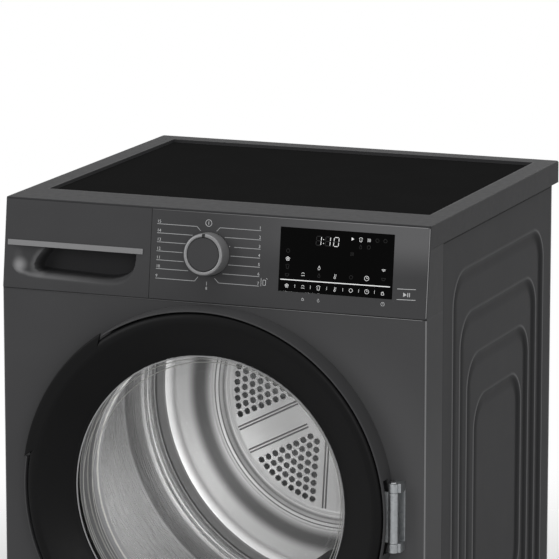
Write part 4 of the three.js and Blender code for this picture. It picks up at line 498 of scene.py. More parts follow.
# %% Finish per slot
SLOT_FINISH = {
    "body_paint": "enamel", "body_plastic": "cover_grey", "worktop_black": "inset_black",
    "display_black": "display_glass", "door_black": "door_black", "inner_black": "inner_black",
    "trim_grey": "silver", "steel": "plain_steel", "zinc": "zinc", "white_plastic": "white_moulding",
    "rubber": "rubber", "felt": "felt", "glass": "clear_glass", "copper": "copper",
    "fin_aluminium": "fin_aluminium", "board_green": "board",
}
NODE_SLOT = {row["node"]: row["material_slot"] for row in frame["record"]["subparts"]}
for node_name, item in frame["nodes"].items():
    item.data.materials.clear()
    item.data.materials.append(FINISH[SLOT_FINISH[NODE_SLOT[node_name]]])
print("CAD pieces finished", len(NODE_SLOT))

# %% [markdown]
# ## Shapes
# Nearly every piece here is a skin over a row of loops: a pressed panel is a nest of rounded
# rectangles, a drum is a profile turned about its axis. Writing the loops one by one keeps each edge
# where it belongs, which a stack of modifiers would not. A Shape collects such skins in millimetres.

# %% Shape
def rounded(a, b, radius, steps=8):
    """Corners of a rounded rectangle, anticlockwise."""
    points = []
    centres = ((a[1] - radius, b[0] + radius), (a[1] - radius, b[1] - radius),
               (a[0] + radius, b[1] - radius), (a[0] + radius, b[0] + radius))
    for quarter, (ca, cb) in enumerate(centres):
        for k in range(steps + 1):
            angle = math.pi / 2 * (quarter - 1 + k / steps)
            points.append((ca + radius * math.cos(angle), cb + radius * math.sin(angle)))
    return points


def angles(start, end, steps):
    """Even steps from one angle in degrees to another, in radians."""
    return [math.radians(start + (end - start) * k / steps) for k in range(steps + 1)]


class Shape:
    """A mesh under construction, in millimetres."""

    def __init__(self):
        self.mesh = bmesh.new()

    def skin(self, loops, closed=True, ring=False, caps=False):
        rows = [[self.mesh.verts.new(point) for point in loop] for loop in loops]
        for low, high in zip(rows, rows[1:] + (rows[:1] if ring else [])):
            for at in range(len(low) if closed else len(low) - 1):
                on = (at + 1) % len(low)
                self.mesh.faces.new((low[at], low[on], high[on], high[at]))
        if caps:
            self.mesh.faces.new(rows[0][::-1])
            self.mesh.faces.new(rows[-1])
        return self

    def turned(self, profile, sides, centre, axis="Y", base=0.0):
        """A closed profile of (radius, height above the base) pairs turned about an axis."""
        loops = []
        for a in angles(0, 360, sides)[:-1]:
            ring = [(centre[0] + r * math.cos(a), centre[1] + r * math.sin(a), base + h)
                    for r, h in profile]
            loops.append([(u, h, v) for u, v, h in ring] if axis == "Y" else ring)
        return self.skin(loops, ring=True)

    def box(self, x, y, z):
        corners = ((x[0], y[0]), (x[1], y[0]), (x[1], y[1]), (x[0], y[1]))
        return self.skin([[(a, b, c) for a, b in corners] for c in z], caps=True)

    def turn(self, place):
        bmesh.ops.transform(self.mesh, matrix=place, verts=self.mesh.verts)
        return self

    def mark(self, name, values):
        """Gives the first vertices a value each, which a finish can read."""
        layer = self.mesh.verts.layers.float.new(name)
        for vert, value in zip(self.mesh.verts, values):
            vert[layer] = value
        return self

    def copy_of(self, node):
        self.mesh.from_mesh(frame["nodes"][node].data)
        bmesh.ops.scale(self.mesh, vec=(1000, 1000, 1000), verts=self.mesh.verts)
        bmesh.ops.remove_doubles(self.mesh, verts=self.mesh.verts, dist=0.002)
        bmesh.ops.dissolve_limit(self.mesh, angle_limit=math.radians(0.4), verts=self.mesh.verts,
                                 edges=self.mesh.edges)
        return self


print("shape helpers ready")

# %% [markdown]
# ## From shape to piece
# A real edge is never knife sharp, and its small round is what catches the light. So most pieces get a
# Bevel, and then normals weighted by face area, which keep the flats flat. The modifiers are applied
# before the piece is tied to its CAD body.

# %% Piece
NODE_BODY = {node: body for body, members in frame["record"]["behaviour"]["bodies"].items()
             for node in members}


def as_object(shape, name):
    mesh = bpy.data.meshes.new(name)
    bmesh.ops.scale(shape.mesh, vec=(0.001, 0.001, 0.001), verts=shape.mesh.verts)
    shape.mesh.to_mesh(mesh)
    shape.mesh.free()
    return added(name, mesh)


def settle(item):
    """Applies an object's modifiers to its mesh."""
    bpy.context.view_layer.update()
    before = item.data
    item.data = bpy.data.meshes.new_from_object(
        item.evaluated_get(bpy.context.evaluated_depsgraph_get()))
    item.modifiers.clear()
    bpy.data.meshes.remove(before)


def tied(item, finish, stands_for=(), body=None, slot=None):
    """Gives an object its finish, picked by its slot when none is named, and its body, and hides the CAD
    parts it stands for.
    """
    first = stands_for[0] if stands_for else None
    slot = slot or NODE_SLOT[first]
    if not item.data.materials:
        item.data.materials.append(FINISH[finish or SLOT_FINISH[slot]])
    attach(item, body or NODE_BODY[first])
    if stands_for:
        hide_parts(*stands_for)
    return item


def shaded(item, sharp):
    item.data.shade_smooth()
    item.data.set_sharp_from_angle(angle=math.radians(sharp))
    return item


def flattened(item, sharp):
    """Smooth shading whose normals follow the large faces."""
    shaded(item, sharp).modifiers.new("flats", "WEIGHTED_NORMAL").keep_sharp = True
    settle(item)


def cut_by(item, tool, solver="EXACT"):
    cut = item.modifiers.new("cut", "BOOLEAN")
    cut.operation, cut.solver, cut.object = "DIFFERENCE", solver, tool
    return tool


def piece(shape, name, stands_for=(), body=None, slot=None, finish=None, thick=0.0, bevel=0.0,
          segments=3, facing=None, cutters=(), sharp=48):
    work = shape.mesh
    bmesh.ops.remove_doubles(work, verts=work.verts, dist=0.002)
    bmesh.ops.dissolve_degenerate(work, edges=work.edges, dist=0.001)
    bmesh.ops.recalc_face_normals(work, faces=work.faces)
    if facing and sum((f.normal * f.calc_area() for f in work.faces), Vector()).dot(facing) < 0:
        bmesh.ops.reverse_faces(work, faces=work.faces)
    item = as_object(shape, name)
    if thick:
        wall = item.modifiers.new("wall", "SOLIDIFY")
        wall.thickness, wall.offset = thick / 1000, -1
        wall.use_even_offset = True
    tools = []
    for number, cutter in enumerate(cutters):
        bmesh.ops.recalc_face_normals(cutter.mesh, faces=cutter.mesh.faces)
        tools.append(cut_by(item, as_object(cutter, f"{name}_cutter_{number}")))
    if bevel:
        edge = item.modifiers.new("edge", "BEVEL")
        edge.width, edge.segments = bevel / 1000, segments
        edge.limit_method, edge.angle_limit = "ANGLE", math.radians(30)
    settle(item)
    for tool in tools:
        bpy.data.objects.remove(tool)
    flattened(item, sharp)
    tied(item, finish, stands_for, body, slot)
    print(f"{name}: {sum(len(f.vertices) - 2 for f in item.data.polygons)} triangles")
    return item


def refined(node, name, bevel, **words):
    """The CAD node's own shape with its edges rounded."""
    return piece(Shape().copy_of(node), name, [node], bevel=bevel, **words)


# %% [markdown]
# ## Worktop
# The worktop is a deep moulded frame round a flat inset. Its outline is one rounded rectangle that is
# repeated from the underside up, so the frame is a single skin: skirt, front lip over the fascia,
# rounded rim, and the shallow pocket that holds the inset. Its flat crown is painted a shade darker than
# its sides, as painted shade that tones down the light from above, and a narrow band round the pocket a
# shade lighter, as a painted highlight along the pocket's edge.

# %% Worktop
def worktop_grey():
    finish = Finish("worktop_grey", Specular_IOR_Level=0.02)
    mixed = finish.mix(finish.grain(60, 3), "#3b3b3c", "#404041")
    # Painted shade on the flat crown and a painted highlight on the band round the pocket.
    for name, grey in (("crown_painted_shade", "#363637"), ("band_painted_highlight", "#464647")):
        mixed = finish.mix(finish.marked(name), mixed, grey)
    finish.feed(finish.shader.inputs["Base Color"], mixed)
    keep("worktop_grey", finish.eroded(grain=0.5))


worktop_grey()


def worktop():
    inset_low, inset_high = box_mm("worktop_panel")
    back = top_high.y

    def oblong(x, y, z, radius, grow):
        x, y = ((low - grow, high + grow) for low, high in (x, y))
        return [(a, b, z) for a, b in rounded(x, y, radius)]

    def level(inset, z, radius, front=FACE):
        return oblong((-HALF, HALF), (front, back), z, radius, -inset)

    hidden = FACE + 3.3
    rim = 1.5
    loops = [level(12, DECK - 6, 2), level(12, SLAB, 2),
             level(0.3, SLAB, 0.1, hidden), level(0, SLAB + 0.3, 0.1, hidden),
             level(0, FASCIA_TOP - 0.02, 0.1, hidden), level(0, FASCIA_TOP, 3)]
    loops += [level(rim - i, DECK - rim + h, 3 - (rim - i) * 0.5)
              for i, h in ((rim * math.cos(a), rim * math.sin(a)) for a in angles(0, 90, 5))]
    rear = back - (HALF - inset_high.x)
    x = (inset_low.x - 0.3, inset_high.x + 0.3)
    y = (inset_low.y - 0.3, rear + 0.3)
    band_highlight_shares = [0.0] * len(loops)
    for grow, z, share in ((3.2, DECK, 0), (2.0, DECK, 1), (0.4, DECK, 1), (0.0, DECK - 0.4, 0),
                           (0.0, DECK - 5.4, 0)):
        loops.append(oblong(x, y, z, 2.5, grow))
        band_highlight_shares.append(share)
    shape = Shape().skin(loops, caps=True)
    shape.mark("crown_painted_shade", [float(z > DECK - 0.5) for loop in loops for _, _, z in loop])
    shape.mark("band_painted_highlight", [share for share in band_highlight_shares for _ in loops[0]])
    piece(shape, "worktop_surround", ["worktop_frame"], finish="worktop_grey")
    plate = [oblong((inset_low.x, inset_high.x), (inset_low.y, rear), DECK - drop, 2.3, -shrink)
             for shrink, drop in ((0.0, 5.4), (0.0, 4.8), (0.12, 4.5), (0.4, 4.4))]
    piece(Shape().skin(plate, caps=True), "worktop_inset", ["worktop_panel"], finish="inset_black")


worktop()

# %% [markdown]
# ## Front panel
# One sheet is folded round both front edges, so its section seen from above is a wide U. The U is
# repeated up the cabinet and cut by a cylinder for the loading opening. The fold has a 4 mm radius, and
# the bright vertical line at the corner is a light strip laid over the fold: a painted highlight.

# %% Front panel
SHEET = 1.2
FOLD_RADIUS = 4.0
FLANGE = 14.0
OPENING_RADIUS = 212.2


def quarter(x, y, radius):
    """The corner of a section, from the side round to the front."""
    return [(x - radius + math.cos(a) * radius, y + radius - math.sin(a) * radius)
            for a in angles(0, 90, 6)]


def wrap_section(z, shrink):
    """The U of a skin that wraps round the front, seen from above."""
    half, inner = HALF - shrink, HALF - SHEET
    right = [(half - FLANGE, CHEEK), (half, CHEEK)] + quarter(half, FRONT + shrink, FOLD_RADIUS)
    back = quarter(inner, FRONT + SHEET, FOLD_RADIUS - 1)
    lining = [(half - FLANGE, CHEEK - SHEET), (inner, CHEEK - SHEET)] + back
    outer = right + [(-a, b) for a, b in right[::-1]]
    inside = lining + [(-a, b) for a, b in lining[::-1]]
    return [(a, b, z) for a, b in outer + inside[::-1]]


def front_panel():
    low, high = panel_low.z, panel_high.z
    levels = ((low, 0.5), (low + 0.5, 0.0), (high - 0.5, 0.0), (high, 0.5))
    shape = Shape().skin([wrap_section(z, shrink) for z, shrink in levels], caps=True)
    opening = Shape().turned([(0, -5), (OPENING_RADIUS, -5), (OPENING_RADIUS, 30), (0, 30)], 160,
                             (0, DOOR_Z), base=FRONT)
    catch = Shape().box((-242, -222), (FRONT - 5, FRONT + 5), (DOOR_Z - 11, DOOR_Z + 11))
    piece(shape, "front_skin", ["front_panel"], cutters=[opening, catch], finish="front_enamel")


front_panel()

# %% [markdown]
# ## Side panels
# Each side is stiffened by four pressed terraces, one inside the other and each one a little deeper. A
# press raises a fine lip along each edge and leaves a hollow at its foot that comes up again over 20
# mm. Light and shade are painted over them: a painted highlight on each lip and painted shade in each
# hollow, weaker where an edge runs level. The plain grey of the sides is a shade darker than the
# front's enamel, which is painted shade as well. The nest is walked from the outer edge inwards with
# loops of equal length, and one profile serves all four steps.

# %% Side panels
SIDE_FACE = 294.0
SIDE_FOOT = 22.0
PANEL_REAR = 264.5
TERRACES = 4
STEP = 1.5
TERRACE_CORNER = 46
TERRACE_FRONT = 118
TERRACE_REAR = 38
TERRACE_LOW = 96
TERRACE_HIGH = 84
PITCH_FRONT = 33.5
PITCH_REAR = 26.5
PITCH_LEVEL = 62


def step_profile():
    """Inset, depth as a share of the step, and painted light from -1, painted shade in the hollow, to 1, a
    painted highlight on the lip.
    """
    return [(-5.0, 0.0, 0.0), (-3.6, -0.1, 0.3), (-2.4, -0.35, 0.8), (-1.4, -0.5, 1.0), (-0.6, -0.45, 0.8),
            (0.6, 0.0, 0.0), (2.0, 0.6, -0.4), (3.6, 1.3, -0.8), (5.6, 1.8, -1.0), (8.5, 1.95, -1.0),
            (12.0, 1.75, -0.85), (16.0, 1.35, -0.4), (20.5, 1.0, 0.0)]


def upright(a, b, y, z, radius):
    """How strong an edge's painted light is: 1 where the outline runs upright and less where it runs level.
    """
    across = a - min(max(a, y[0] + radius), y[1] - radius)
    above = b - min(max(b, z[0] + radius), z[1] - radius)
    return 0.25 + 0.75 * abs(across) / max(math.hypot(across, above), 0.001)


def pressed_enamel():
    """Enamel with painted light: a painted highlight on each pressed lip and painted shade in the hollow at
    its foot.
    """
    finish = Finish("pressed_enamel", Specular_IOR_Level=0.012)
    painted_light = finish.marked("lip")
    painted_highlight = finish.node("ShaderNodeMapRange", None, {"Value": painted_light})
    painted_shade = finish.node("ShaderNodeMapRange", None, {"Value": 0.0 - painted_light})
    plain = finish.mix(finish.grain(120, 2), "#414142", "#464647")
    lit = finish.mix(painted_highlight * 0.7, plain, "#868687")
    keep("pressed_enamel", finish.colours(painted_shade * 0.8, lit, "#2c2c2d").sprayed())


pressed_enamel()


def side_panel(side, name, node):
    fold = 2.0

    def outline(inset, depth, radius, y, z):
        return [(side * (SIDE_FACE - depth), a, b) for a, b in rounded(
            (y[0] + inset, y[1] - inset), (z[0] + inset, z[1] - inset), radius, 10)]

    y, z = (CHEEK, PANEL_REAR - SHEET), (SIDE_FOOT, SLAB)
    loops = [outline(0, 14, 0.3, y, z), outline(0, 4, 0.3, y, z), outline(0, fold, 0.3, y, z)]
    loops += [outline(i, d, 0.3 + i * 0.5, y, z) for d, i in (
        (fold * 0.5, fold * 0.13), (fold * 0.13, fold * 0.5), (0, fold))]
    loops.append(outline(fold + 3, 0, 3, y, z))
    # Painted light per vertex: above 0 a painted highlight on a lip, below 0 painted shade in a hollow.
    lip_and_hollow_light = [0.0] * len(loops) * len(loops[0])
    for number in range(TERRACES):
        y = (FRONT + TERRACE_FRONT + PITCH_FRONT * number, PANEL_REAR - TERRACE_REAR - PITCH_REAR * number)
        z = (TERRACE_LOW + PITCH_LEVEL * number, DECK - TERRACE_HIGH - PITCH_LEVEL * number)
        for inset, share, painted_light in step_profile():
            loops.append(outline(inset, STEP * (number + share), TERRACE_CORNER - inset, y, z))
            lip_and_hollow_light += [painted_light * upright(a, b, y, z, TERRACE_CORNER) for _, a, b in loops[-1]]
    shape = Shape().skin(loops)
    shape.mesh.faces.new(list(shape.mesh.verts)[-len(loops[-1]):])
    shape.mark("lip", lip_and_hollow_light)
    piece(shape, name, [node], thick=SHEET, facing=(side, 0, 0), sharp=60, finish="pressed_enamel")


side_panel(1, "side_skin_right", "side_panel_right")
side_panel(-1, "side_skin_left", "side_panel_left")

# %% [markdown]
# ## Control fascia
# The fascia is moulded in one piece with the right cheek, which runs flush into the worktop's side. Its
# section from above is an L that slides forward as the face leans out. The display window and the
# knob's hole are cut with boxes and a cylinder that sit on the leaning face.

# %% Control fascia
SPLIT = -87.4
DISPLAY = (93.6, 250.7, 12.0, 95.6)
KNOB = (-5.0, 54.5)
KNOB_HOLE = 28.9


def face_front(z):
    return FACE - (FASCIA_TOP - z) * LEAN / (FASCIA_TOP - FASCIA_FOOT)


def cheek_section(z, left, rear, shrink):
    """The L of the fascia and its cheek at one height, seen from above."""
    radius, wall = 3.0, 3.0
    face = face_front(z) + shrink
    side = HALF - shrink
    deep = min(face - shrink + wall, rear - 0.15)
    corner = [(side - radius + math.sin(a) * radius, face + radius - math.cos(a) * radius)
              for a in angles(0, 90, 6)]
    return [(a, b, z) for a, b in [(left, face), *corner, (side, rear), (HALF - 2.5, rear),
                                   (HALF - 2.5, deep + 0.1), (left, deep)]]


def on_fascia(x, depth, s):
    """A box let into the leaning face or standing on it."""
    return Shape().box(x, depth, (-s[1], -s[0])).turn(FASCIA)


def knob_turned(profile):
    """A profile turned about the knob's axis, which stands square on the fascia."""
    return Shape().turned(profile, 96, (KNOB[0], -KNOB[1])).turn(FASCIA)


def control_fascia():
    left = SPLIT + 0.3
    high, low = FASCIA_TOP - 0.3, FASCIA_FOOT
    at_slab = SLAB - 0.01
    levels = [(low, CHEEK, 0.5), (low + 0.5, CHEEK, 0), (at_slab, CHEEK, 0), (SLAB, FACE + 3, 0),
              (high - 0.5, FACE + 3, 0), (high, FACE + 3, 0.5)]
    shape = Shape().skin([cheek_section(z, left, rear, shrink) for z, rear, shrink in levels], caps=True)
    back = (FRONT + 29, CHEEK)
    shape.box((-HALF, -HALF + 2.5), back, (low, SLAB))
    shape.box((-HALF + 2.6, HALF - 2.6), back, (SLAB - 6.7, SLAB))
    shape.box((-HALF + 2.6, HALF - 2.6), back, (low, low + 5))
    shape.box((left, left + 2.5), (FRONT + 13, CHEEK), (low + 5.1, SLAB - 6.8))
    x0, x1, s0, s1 = DISPLAY
    window = on_fascia((x0, x1), (-6, 9), (s0, s1))
    hole = knob_turned([(0, -6), (KNOB_HOLE, -6), (KNOB_HOLE, 9), (0, 9)])
    piece(shape, "fascia", ["control_fascia"], cutters=[window, hole], finish="fascia_grey")
    glass = on_fascia((x0 + 0.3, x1 - 0.3), (0.3, 3), (s0 + 0.3, s1 - 0.3))
    piece(glass, "display_pane", ["display_window"], bevel=0.25, segments=2)


control_fascia()

# %% [markdown]
# ## Drawer front with its handle pocket
# The handle is a scoop: a soft hollow that falls away from its outer line, and inside it a deep pocket
# for the fingers. A height field suits that best. Each point of a fine grid measures how far it lies
# inside the outer and the inner line, and the two distances give its depth. The line of the pocket is
# wide at the left, where the thumb slides in, and tight at the right.

# %% Drawer front
SCOOP = [(-288, 30), (-288, 70), (-287, 79), (-284, 87), (-279, 93.5), (-271, 98.5), (-261, 101.2),
         (-250, 102.3), (-200, 103.5), (-145, 104.8), (-133, 104.2), (-124, 101), (-116.5, 95),
         (-111, 86), (-108.4, 76), (-108, 66), (-108, 30)]
HOLLOW = [(-243, 30), (-243, 64), (-248, 70), (-254, 78), (-257, 86), (-255.5, 92), (-249, 95.2),
          (-200, 97), (-160, 98.6), (-146, 98), (-134, 95.4), (-124, 91), (-115, 84), (-110, 75),
          (-108.6, 66), (-108.6, 30)]
SCOOP_DEPTH = 9.0
POCKET_DEPTH = 33.0
POCKET_TOP = 62.0
ROW_STEP = 0.9


def inside_by(line, x, s):
    """Distance inside a closed line, negative outside it."""
    nearest, inside = 1e9, False
    for (x0, s0), (x1, s1) in zip(line, line[1:] + line[:1]):
        dx, ds = x1 - x0, s1 - s0
        share = max(0, min(1, ((x - x0) * dx + (s - s0) * ds) / (dx * dx + ds * ds)))
        nearest = min(nearest, math.hypot(x - x0 - share * dx, s - s0 - share * ds))
        if (s0 > s) != (s1 > s) and x < dx * (s - s0) / ds + x0:
            inside = not inside
    return nearest if inside else -nearest


def eased(share):
    return share * share * (3 - 2 * share)


def pocket_depth(x, s):
    if s < POCKET_TOP:
        return 0.0
    scoop = inside_by(SCOOP, x, s)
    if scoop <= 0:
        return 0.0
    hollow = inside_by(HOLLOW, x, s)
    if hollow > 0:
        fall = min(1, hollow / 5.0)
        return SCOOP_DEPTH + (POCKET_DEPTH - SCOOP_DEPTH) * math.sin(fall * math.pi / 2) ** 0.7
    return SCOOP_DEPTH * eased(scoop / (scoop - hollow))


def soft(value, middle, reach):
    """1 at the middle and 0 from reach on, with round shoulders."""
    return eased(max(0.0, 1 - abs(value - middle) / reach))


def scoop_highlight(x, s):
    """How strong the painted highlight on the scoop is: most in the thumb's corner, less along the lower lip.
    """
    scoop, hollow = inside_by(SCOOP, x, s), inside_by(HOLLOW, x, s)
    if scoop < -3:
        return 0.0
    thumb = soft(math.hypot((x + 275.5) / 12.5, (s - 88) / 14.5), 0, 1)
    heel = 0.12 * soft(math.hypot((x + 278) / 9, (s - 79) / 18), 0, 1)
    lip = 0.38 * soft(scoop, 2.2, 4.5) * min(1, max(0, (s - 92) / 5)) * min(1, max(0, (-118 - x) / 110))
    ridge = 0.26 * soft(hollow, -2.4, 5.5) * min(1, max(0, (-238 - x) / 8)) * min(1, max(0, (s - 62) / 6))
    return min(1.0, thumb + heel + lip + ridge)


def drawer_grey():
    """Cover grey with a painted highlight from the scoop_highlight attribute, and painted shade that darkens
    the pocket with depth.
    """
    finish = Finish("drawer_grey", Specular_IOR_Level=0.025)
    square = FASCIA.to_3x3() @ Vector((0, 1, 0))
    start = square.dot(FASCIA.translation)
    depth = finish.vectors("DOT_PRODUCT", finish.place, square)
    # Painted shade: the deeper in the pocket, the darker the grey.
    dark = finish.smooth(depth, (start + 9.2) / 1000, (start + 30) / 1000)
    body = finish.mix(finish.grain(60, 3), "#454546", "#4a4a4b")
    # Painted highlight: the thumb's corner, the lower lip and the ridge go towards a light grey.
    bright = finish.mix(finish.marked("scoop_highlight") * 0.85, body, "#9a9a9b")
    keep("drawer_grey", finish.colours(dark, bright, "#323233").eroded())


def drawer_front():
    right = SPLIT - 0.3
    columns = [-294.0, -291.5, -289.5] + [-288.5 + k for k in range(182)] + [-104, -98, right - 0.5]
    rows = [0.3, 0.8, 14, 28.7, 28.9, 45, POCKET_TOP - 0.1]
    rows += [POCKET_TOP + ROW_STEP * k for k in range(49)] + [108, SLOPE - 0.5, SLOPE]
    corner = angles(90, 0, 6)
    loops, highlight_shares = [], []
    for s in rows:
        edge = 0.5 if s in (0.3, SLOPE) else 0.0
        front = on_face(0, s)
        rear = FACE + 3 if front.z > SLAB else FRONT + 28.7
        loop = [(-HALF + edge, rear, front.z)]
        loop += [(-HALF + 3 - (3 - edge) * math.sin(a), front.y + 3 - (3 - edge) * math.cos(a), front.z)
                 for a in corner]
        loop += [on_face(x, s, -max(edge, pocket_depth(x, s))) for x in columns]
        loop += [on_face(right, s, -0.5 - edge), on_face(right, s, -3)]
        loops.append(loop)
        highlight_shares += [0.0] * 8 + [scoop_highlight(x, s) for x in columns] + [0.0] * 2
    drawer_grey()
    shape = Shape().skin(loops, closed=False).mark("scoop_highlight", highlight_shares)
    piece(shape, "drawer_front", ["tank_drawer_front"], thick=2.0, facing=(0, -1, 0), sharp=60,
          finish="drawer_grey")
    strip = on_fascia((-292.7, -98.1), (-1.2, 0.0), (54.4, 61.8))
    piece(strip, "drawer_strip", ["drawer_trim"], bevel=0.3, finish="silver")


drawer_front()

# %% [markdown]
# ## Seams and edges
# Joints between covers show as fine lines. Here they are thin strips whose colour is painted light:
# dark strips of painted shadow under the worktop's overhang and on the side panel behind the step of
# the panel's return, and light strips of painted highlight along the fascia's lower and upper edges,
# down its right corner and over the middle of each fold of the front panel.

# %% Seams
def corner_fold(side):
    """A painted highlight along the crest of the front panel's fold: a thin light skin over its middle."""
    loops = []
    for z in (panel_low.z + 3, panel_high.z - 1):
        outer, inner = ([(side * (HALF - 4 + r * math.cos(a)), FRONT + 4 - r * math.sin(a), z)
                         for a in angles(18, 54, 4)] for r in (4.05, 3.6))
        loops.append(outer + inner[::-1])
    return Shape().skin(loops, caps=True)


def side_strip(side, x, y, z):
    return Shape().box(sorted(side * v for v in x), y, z)


# A light rod down the fascia's right corner: a painted highlight.
def fascia_edge():
    loops = [[(HALF - 0.9 + 0.45 * math.cos(a), face_front(z) + 0.75 + 0.45 * math.sin(a), z)
              for a in angles(0, 315, 7)] for z in (FASCIA_FOOT + 2, FASCIA_TOP - 2)]
    return Shape().skin(loops, caps=True)


def strip(name, shape, slot, finish, bevel=0.0):
    piece(shape, name, body="cabinet", slot=slot, finish=finish, bevel=bevel, segments=1)


def seams():
    seam, rear = SIDE_FACE - 0.4, 263.0
    strip("fascia_edge", fascia_edge(), "body_plastic", "edge_grey")
    for side, hand in ((1, "right"), (-1, "left")):
        # Painted highlight over each fold.
        strip(f"corner_fold_{hand}", corner_fold(side), "body_paint", "fold_grey")
        # A dark strip under the worktop's overhang: painted shadow.
        overhang_shadow = side_strip(side, (seam, SIDE_FACE + 0.35), (CHEEK + 0.2, rear), (SLAB - 4.2, SLAB - 0.05))
        strip(f"worktop_gasket_{hand}", overhang_shadow, "rubber", "rubber", 0.1)
        filler = side_strip(side, (HALF - 1.6, HALF - 0.02), (FRONT + 3.2, CHEEK - 0.3),
                            (panel_high.z - 0.7, FASCIA_FOOT + 0.7))
        strip(f"cheek_filler_{hand}", filler, "body_paint", "cover_grey")
        # A dark strip on the side panel behind the step of the front panel's return: painted shadow.
        groove = side_strip(side, (seam, SIDE_FACE + 0.25), (CHEEK + 0.1, CHEEK + 14.5), (134, SLAB - 4.4))
        strip(f"return_seam_{hand}", groove, "rubber", "seam_grey", 0.1)
    # A light strip along the fascia's upper edge: a painted highlight.
    crest = on_fascia((SPLIT + 0.6, HALF - 3.2), (-0.12, 0.6), (0.75, 1.5))
    strip("fascia_crest", crest, "body_plastic", "lip_grey")
    # A light strip along the front panel's top edge under the fascia: a painted highlight.
    lip_z = (panel_high.z - 0.95, panel_high.z - 0.1)
    lip = Shape().box((5 - HALF, HALF - 5), (FRONT - 0.45, FRONT + 0.5), lip_z)
    strip("panel_lip", lip, "body_paint", "lip_grey", 0.2)


seams()

# %% [markdown]
# ## Knob
# The knob is a silver ring round a grey disc. Both are turned about the axis that stands square on the
# fascia. The ring's face is slightly crowned and its edges are round, so a bright crescent follows its
# rim. A dark pointer is let into the ring at twelve o'clock.

# %% Knob
def knob():
    x, s = KNOB
    skirt = [(28.4, 2), (28.4, 0), (28.1, -8), (27.6, -17.6), (27.2, -18.4), (26, -18.6), (22.5, -18.6),
             (22.5, 2)]
    piece(knob_turned(skirt), "knob_skirt", ["knob_ring"], finish="skirt_grey")
    ring = [(27.3, -18.7)] + [(25.3 + 2.0 * math.cos(a), -19.6 - 2.2 * math.sin(a))
                              for a in angles(0, 90, 5)]
    ring += [(24.4, -21.95), (23.4, -21.8), (22.8, -21.2), (22.5, -20.2), (22.5, -18.7)]
    groove = on_fascia((x - 2.2, x + 2.2), (-25, -20.9), (s - 28.2, s - 20))
    piece(knob_turned(ring), "knob_rim", body="knob", slot="trim_grey", finish="knob_silver",
          cutters=[groove])
    disc = [(0, -20.7), (12, -20.8), (20.8, -21.0), (21.7, -20.7), (22.1, -20.0), (22.1, 2), (3.5, 2),
            (3.5, 14), (0, 14)]
    piece(knob_turned(disc), "knob_face", ["knob_disc"], finish="cover_grey")
    pointer = on_fascia((x - 2.1, x + 2.1), (-21.3, -20.4), (s - 27.0, s - 22.6))
    piece(pointer, "knob_pointer", body="knob", slot="inner_black", finish="inner_black", bevel=0.15)


knob()

# %% [markdown]
# ## Printed marks
# The labels are ink on the fascia: a line leads from each position of the knob to its number. The marks
# are plates less than a tenth of a millimetre high, so they are plain geometry. A stroke is a row of
# small boxes along a path, and figures come from Blender's own font, made a mesh before they are laid
# on the face.

# %% Ink
INK = 0.08


class Ink:
    """Marks on the leaning face, gathered into one piece."""

    def __init__(self, name, finish, proud=0.0):
        self.shape = Shape()
        self.name, self.finish, self.proud = name, finish, proud

    def stroke(self, path, width):
        for (x0, s0), (x1, s1) in zip(path, path[1:]):
            along = Vector((x1 - x0, 0, -(s1 - s0)))
            side = Vector((along.z, 0, -along.x)).normalized() * width / 2
            a, b = Vector((x0, 0, -s0)), Vector((x1, 0, -s1))
            corners = (a - side, b - side, b + side, a + side)
            self.shape.skin([[c + Vector((0, h, 0)) for c in corners]
                             for h in (-self.proud - INK, -self.proud)], caps=True)
        return self

    def ring(self, x, s, radius, width, start=0, sweep=360, sides=24):
        path = [(x + radius * math.cos(a), s - radius * math.sin(a))
                for a in angles(start, start + sweep, sides)]
        return self.stroke(path, width)

    def patch(self, points):
        self.shape.skin([[Vector((x, h, -s)) for x, s in points]
                         for h in (-self.proud - INK, -self.proud)], caps=True)
        return self

    def write(self, text, x, s, size, align):
        curve = bpy.data.curves.new("letters", "FONT")
        curve.body, curve.size, curve.align_x, curve.resolution_u = text, size, align, 3
        letters = added("letters", curve)
        bpy.context.view_layer.update()
        flat = bpy.data.meshes.new_from_object(
            letters.evaluated_get(bpy.context.evaluated_depsgraph_get()))
        bpy.data.objects.remove(letters)
        flat.transform(Matrix.Translation((x, -self.proud - INK, -s)) @ Matrix.Rotation(
            math.pi / 2, 4, "X"))
        self.shape.mesh.from_mesh(flat)
        bpy.data.meshes.remove(flat)
        return self

    def done(self):
        item = as_object(self.shape.turn(FASCIA), self.name)
        tied(item, self.finish, body="cabinet", slot="trim_grey")
        print(self.name, len(item.data.polygons), "faces")


LEADS = [
    [(4.4, 24.4), (9.1, 19.4), (66.6, 19.4)], [(16, 31.5), (66.8, 31.5)], [(29.9, 43.5), (66.8, 43.5)],
    [(25.5, 55.2), (66.8, 55.2)], [(22.5, 67), (67, 67)], [(15.3, 79.2), (67, 79.2)],
    [(4.4, 85.9), (10.3, 91.5), (67, 91.5)], [(-6.5, 91), (-6.5, 96)],
    [(-18.9, 85.5), (-23.5, 91.3), (-79, 91.3)], [(-33.3, 78.7), (-78.8, 78.7)],
    [(-40.2, 67.2), (-78.8, 67.2)], [(-42.1, 55.5), (-79, 55.5)], [(-38.4, 43.6), (-78.9, 43.6)],
    [(-29, 31.8), (-79.3, 31.8)], [(-18.1, 25.2), (-23.2, 19.9), (-79.6, 19.9)],
]


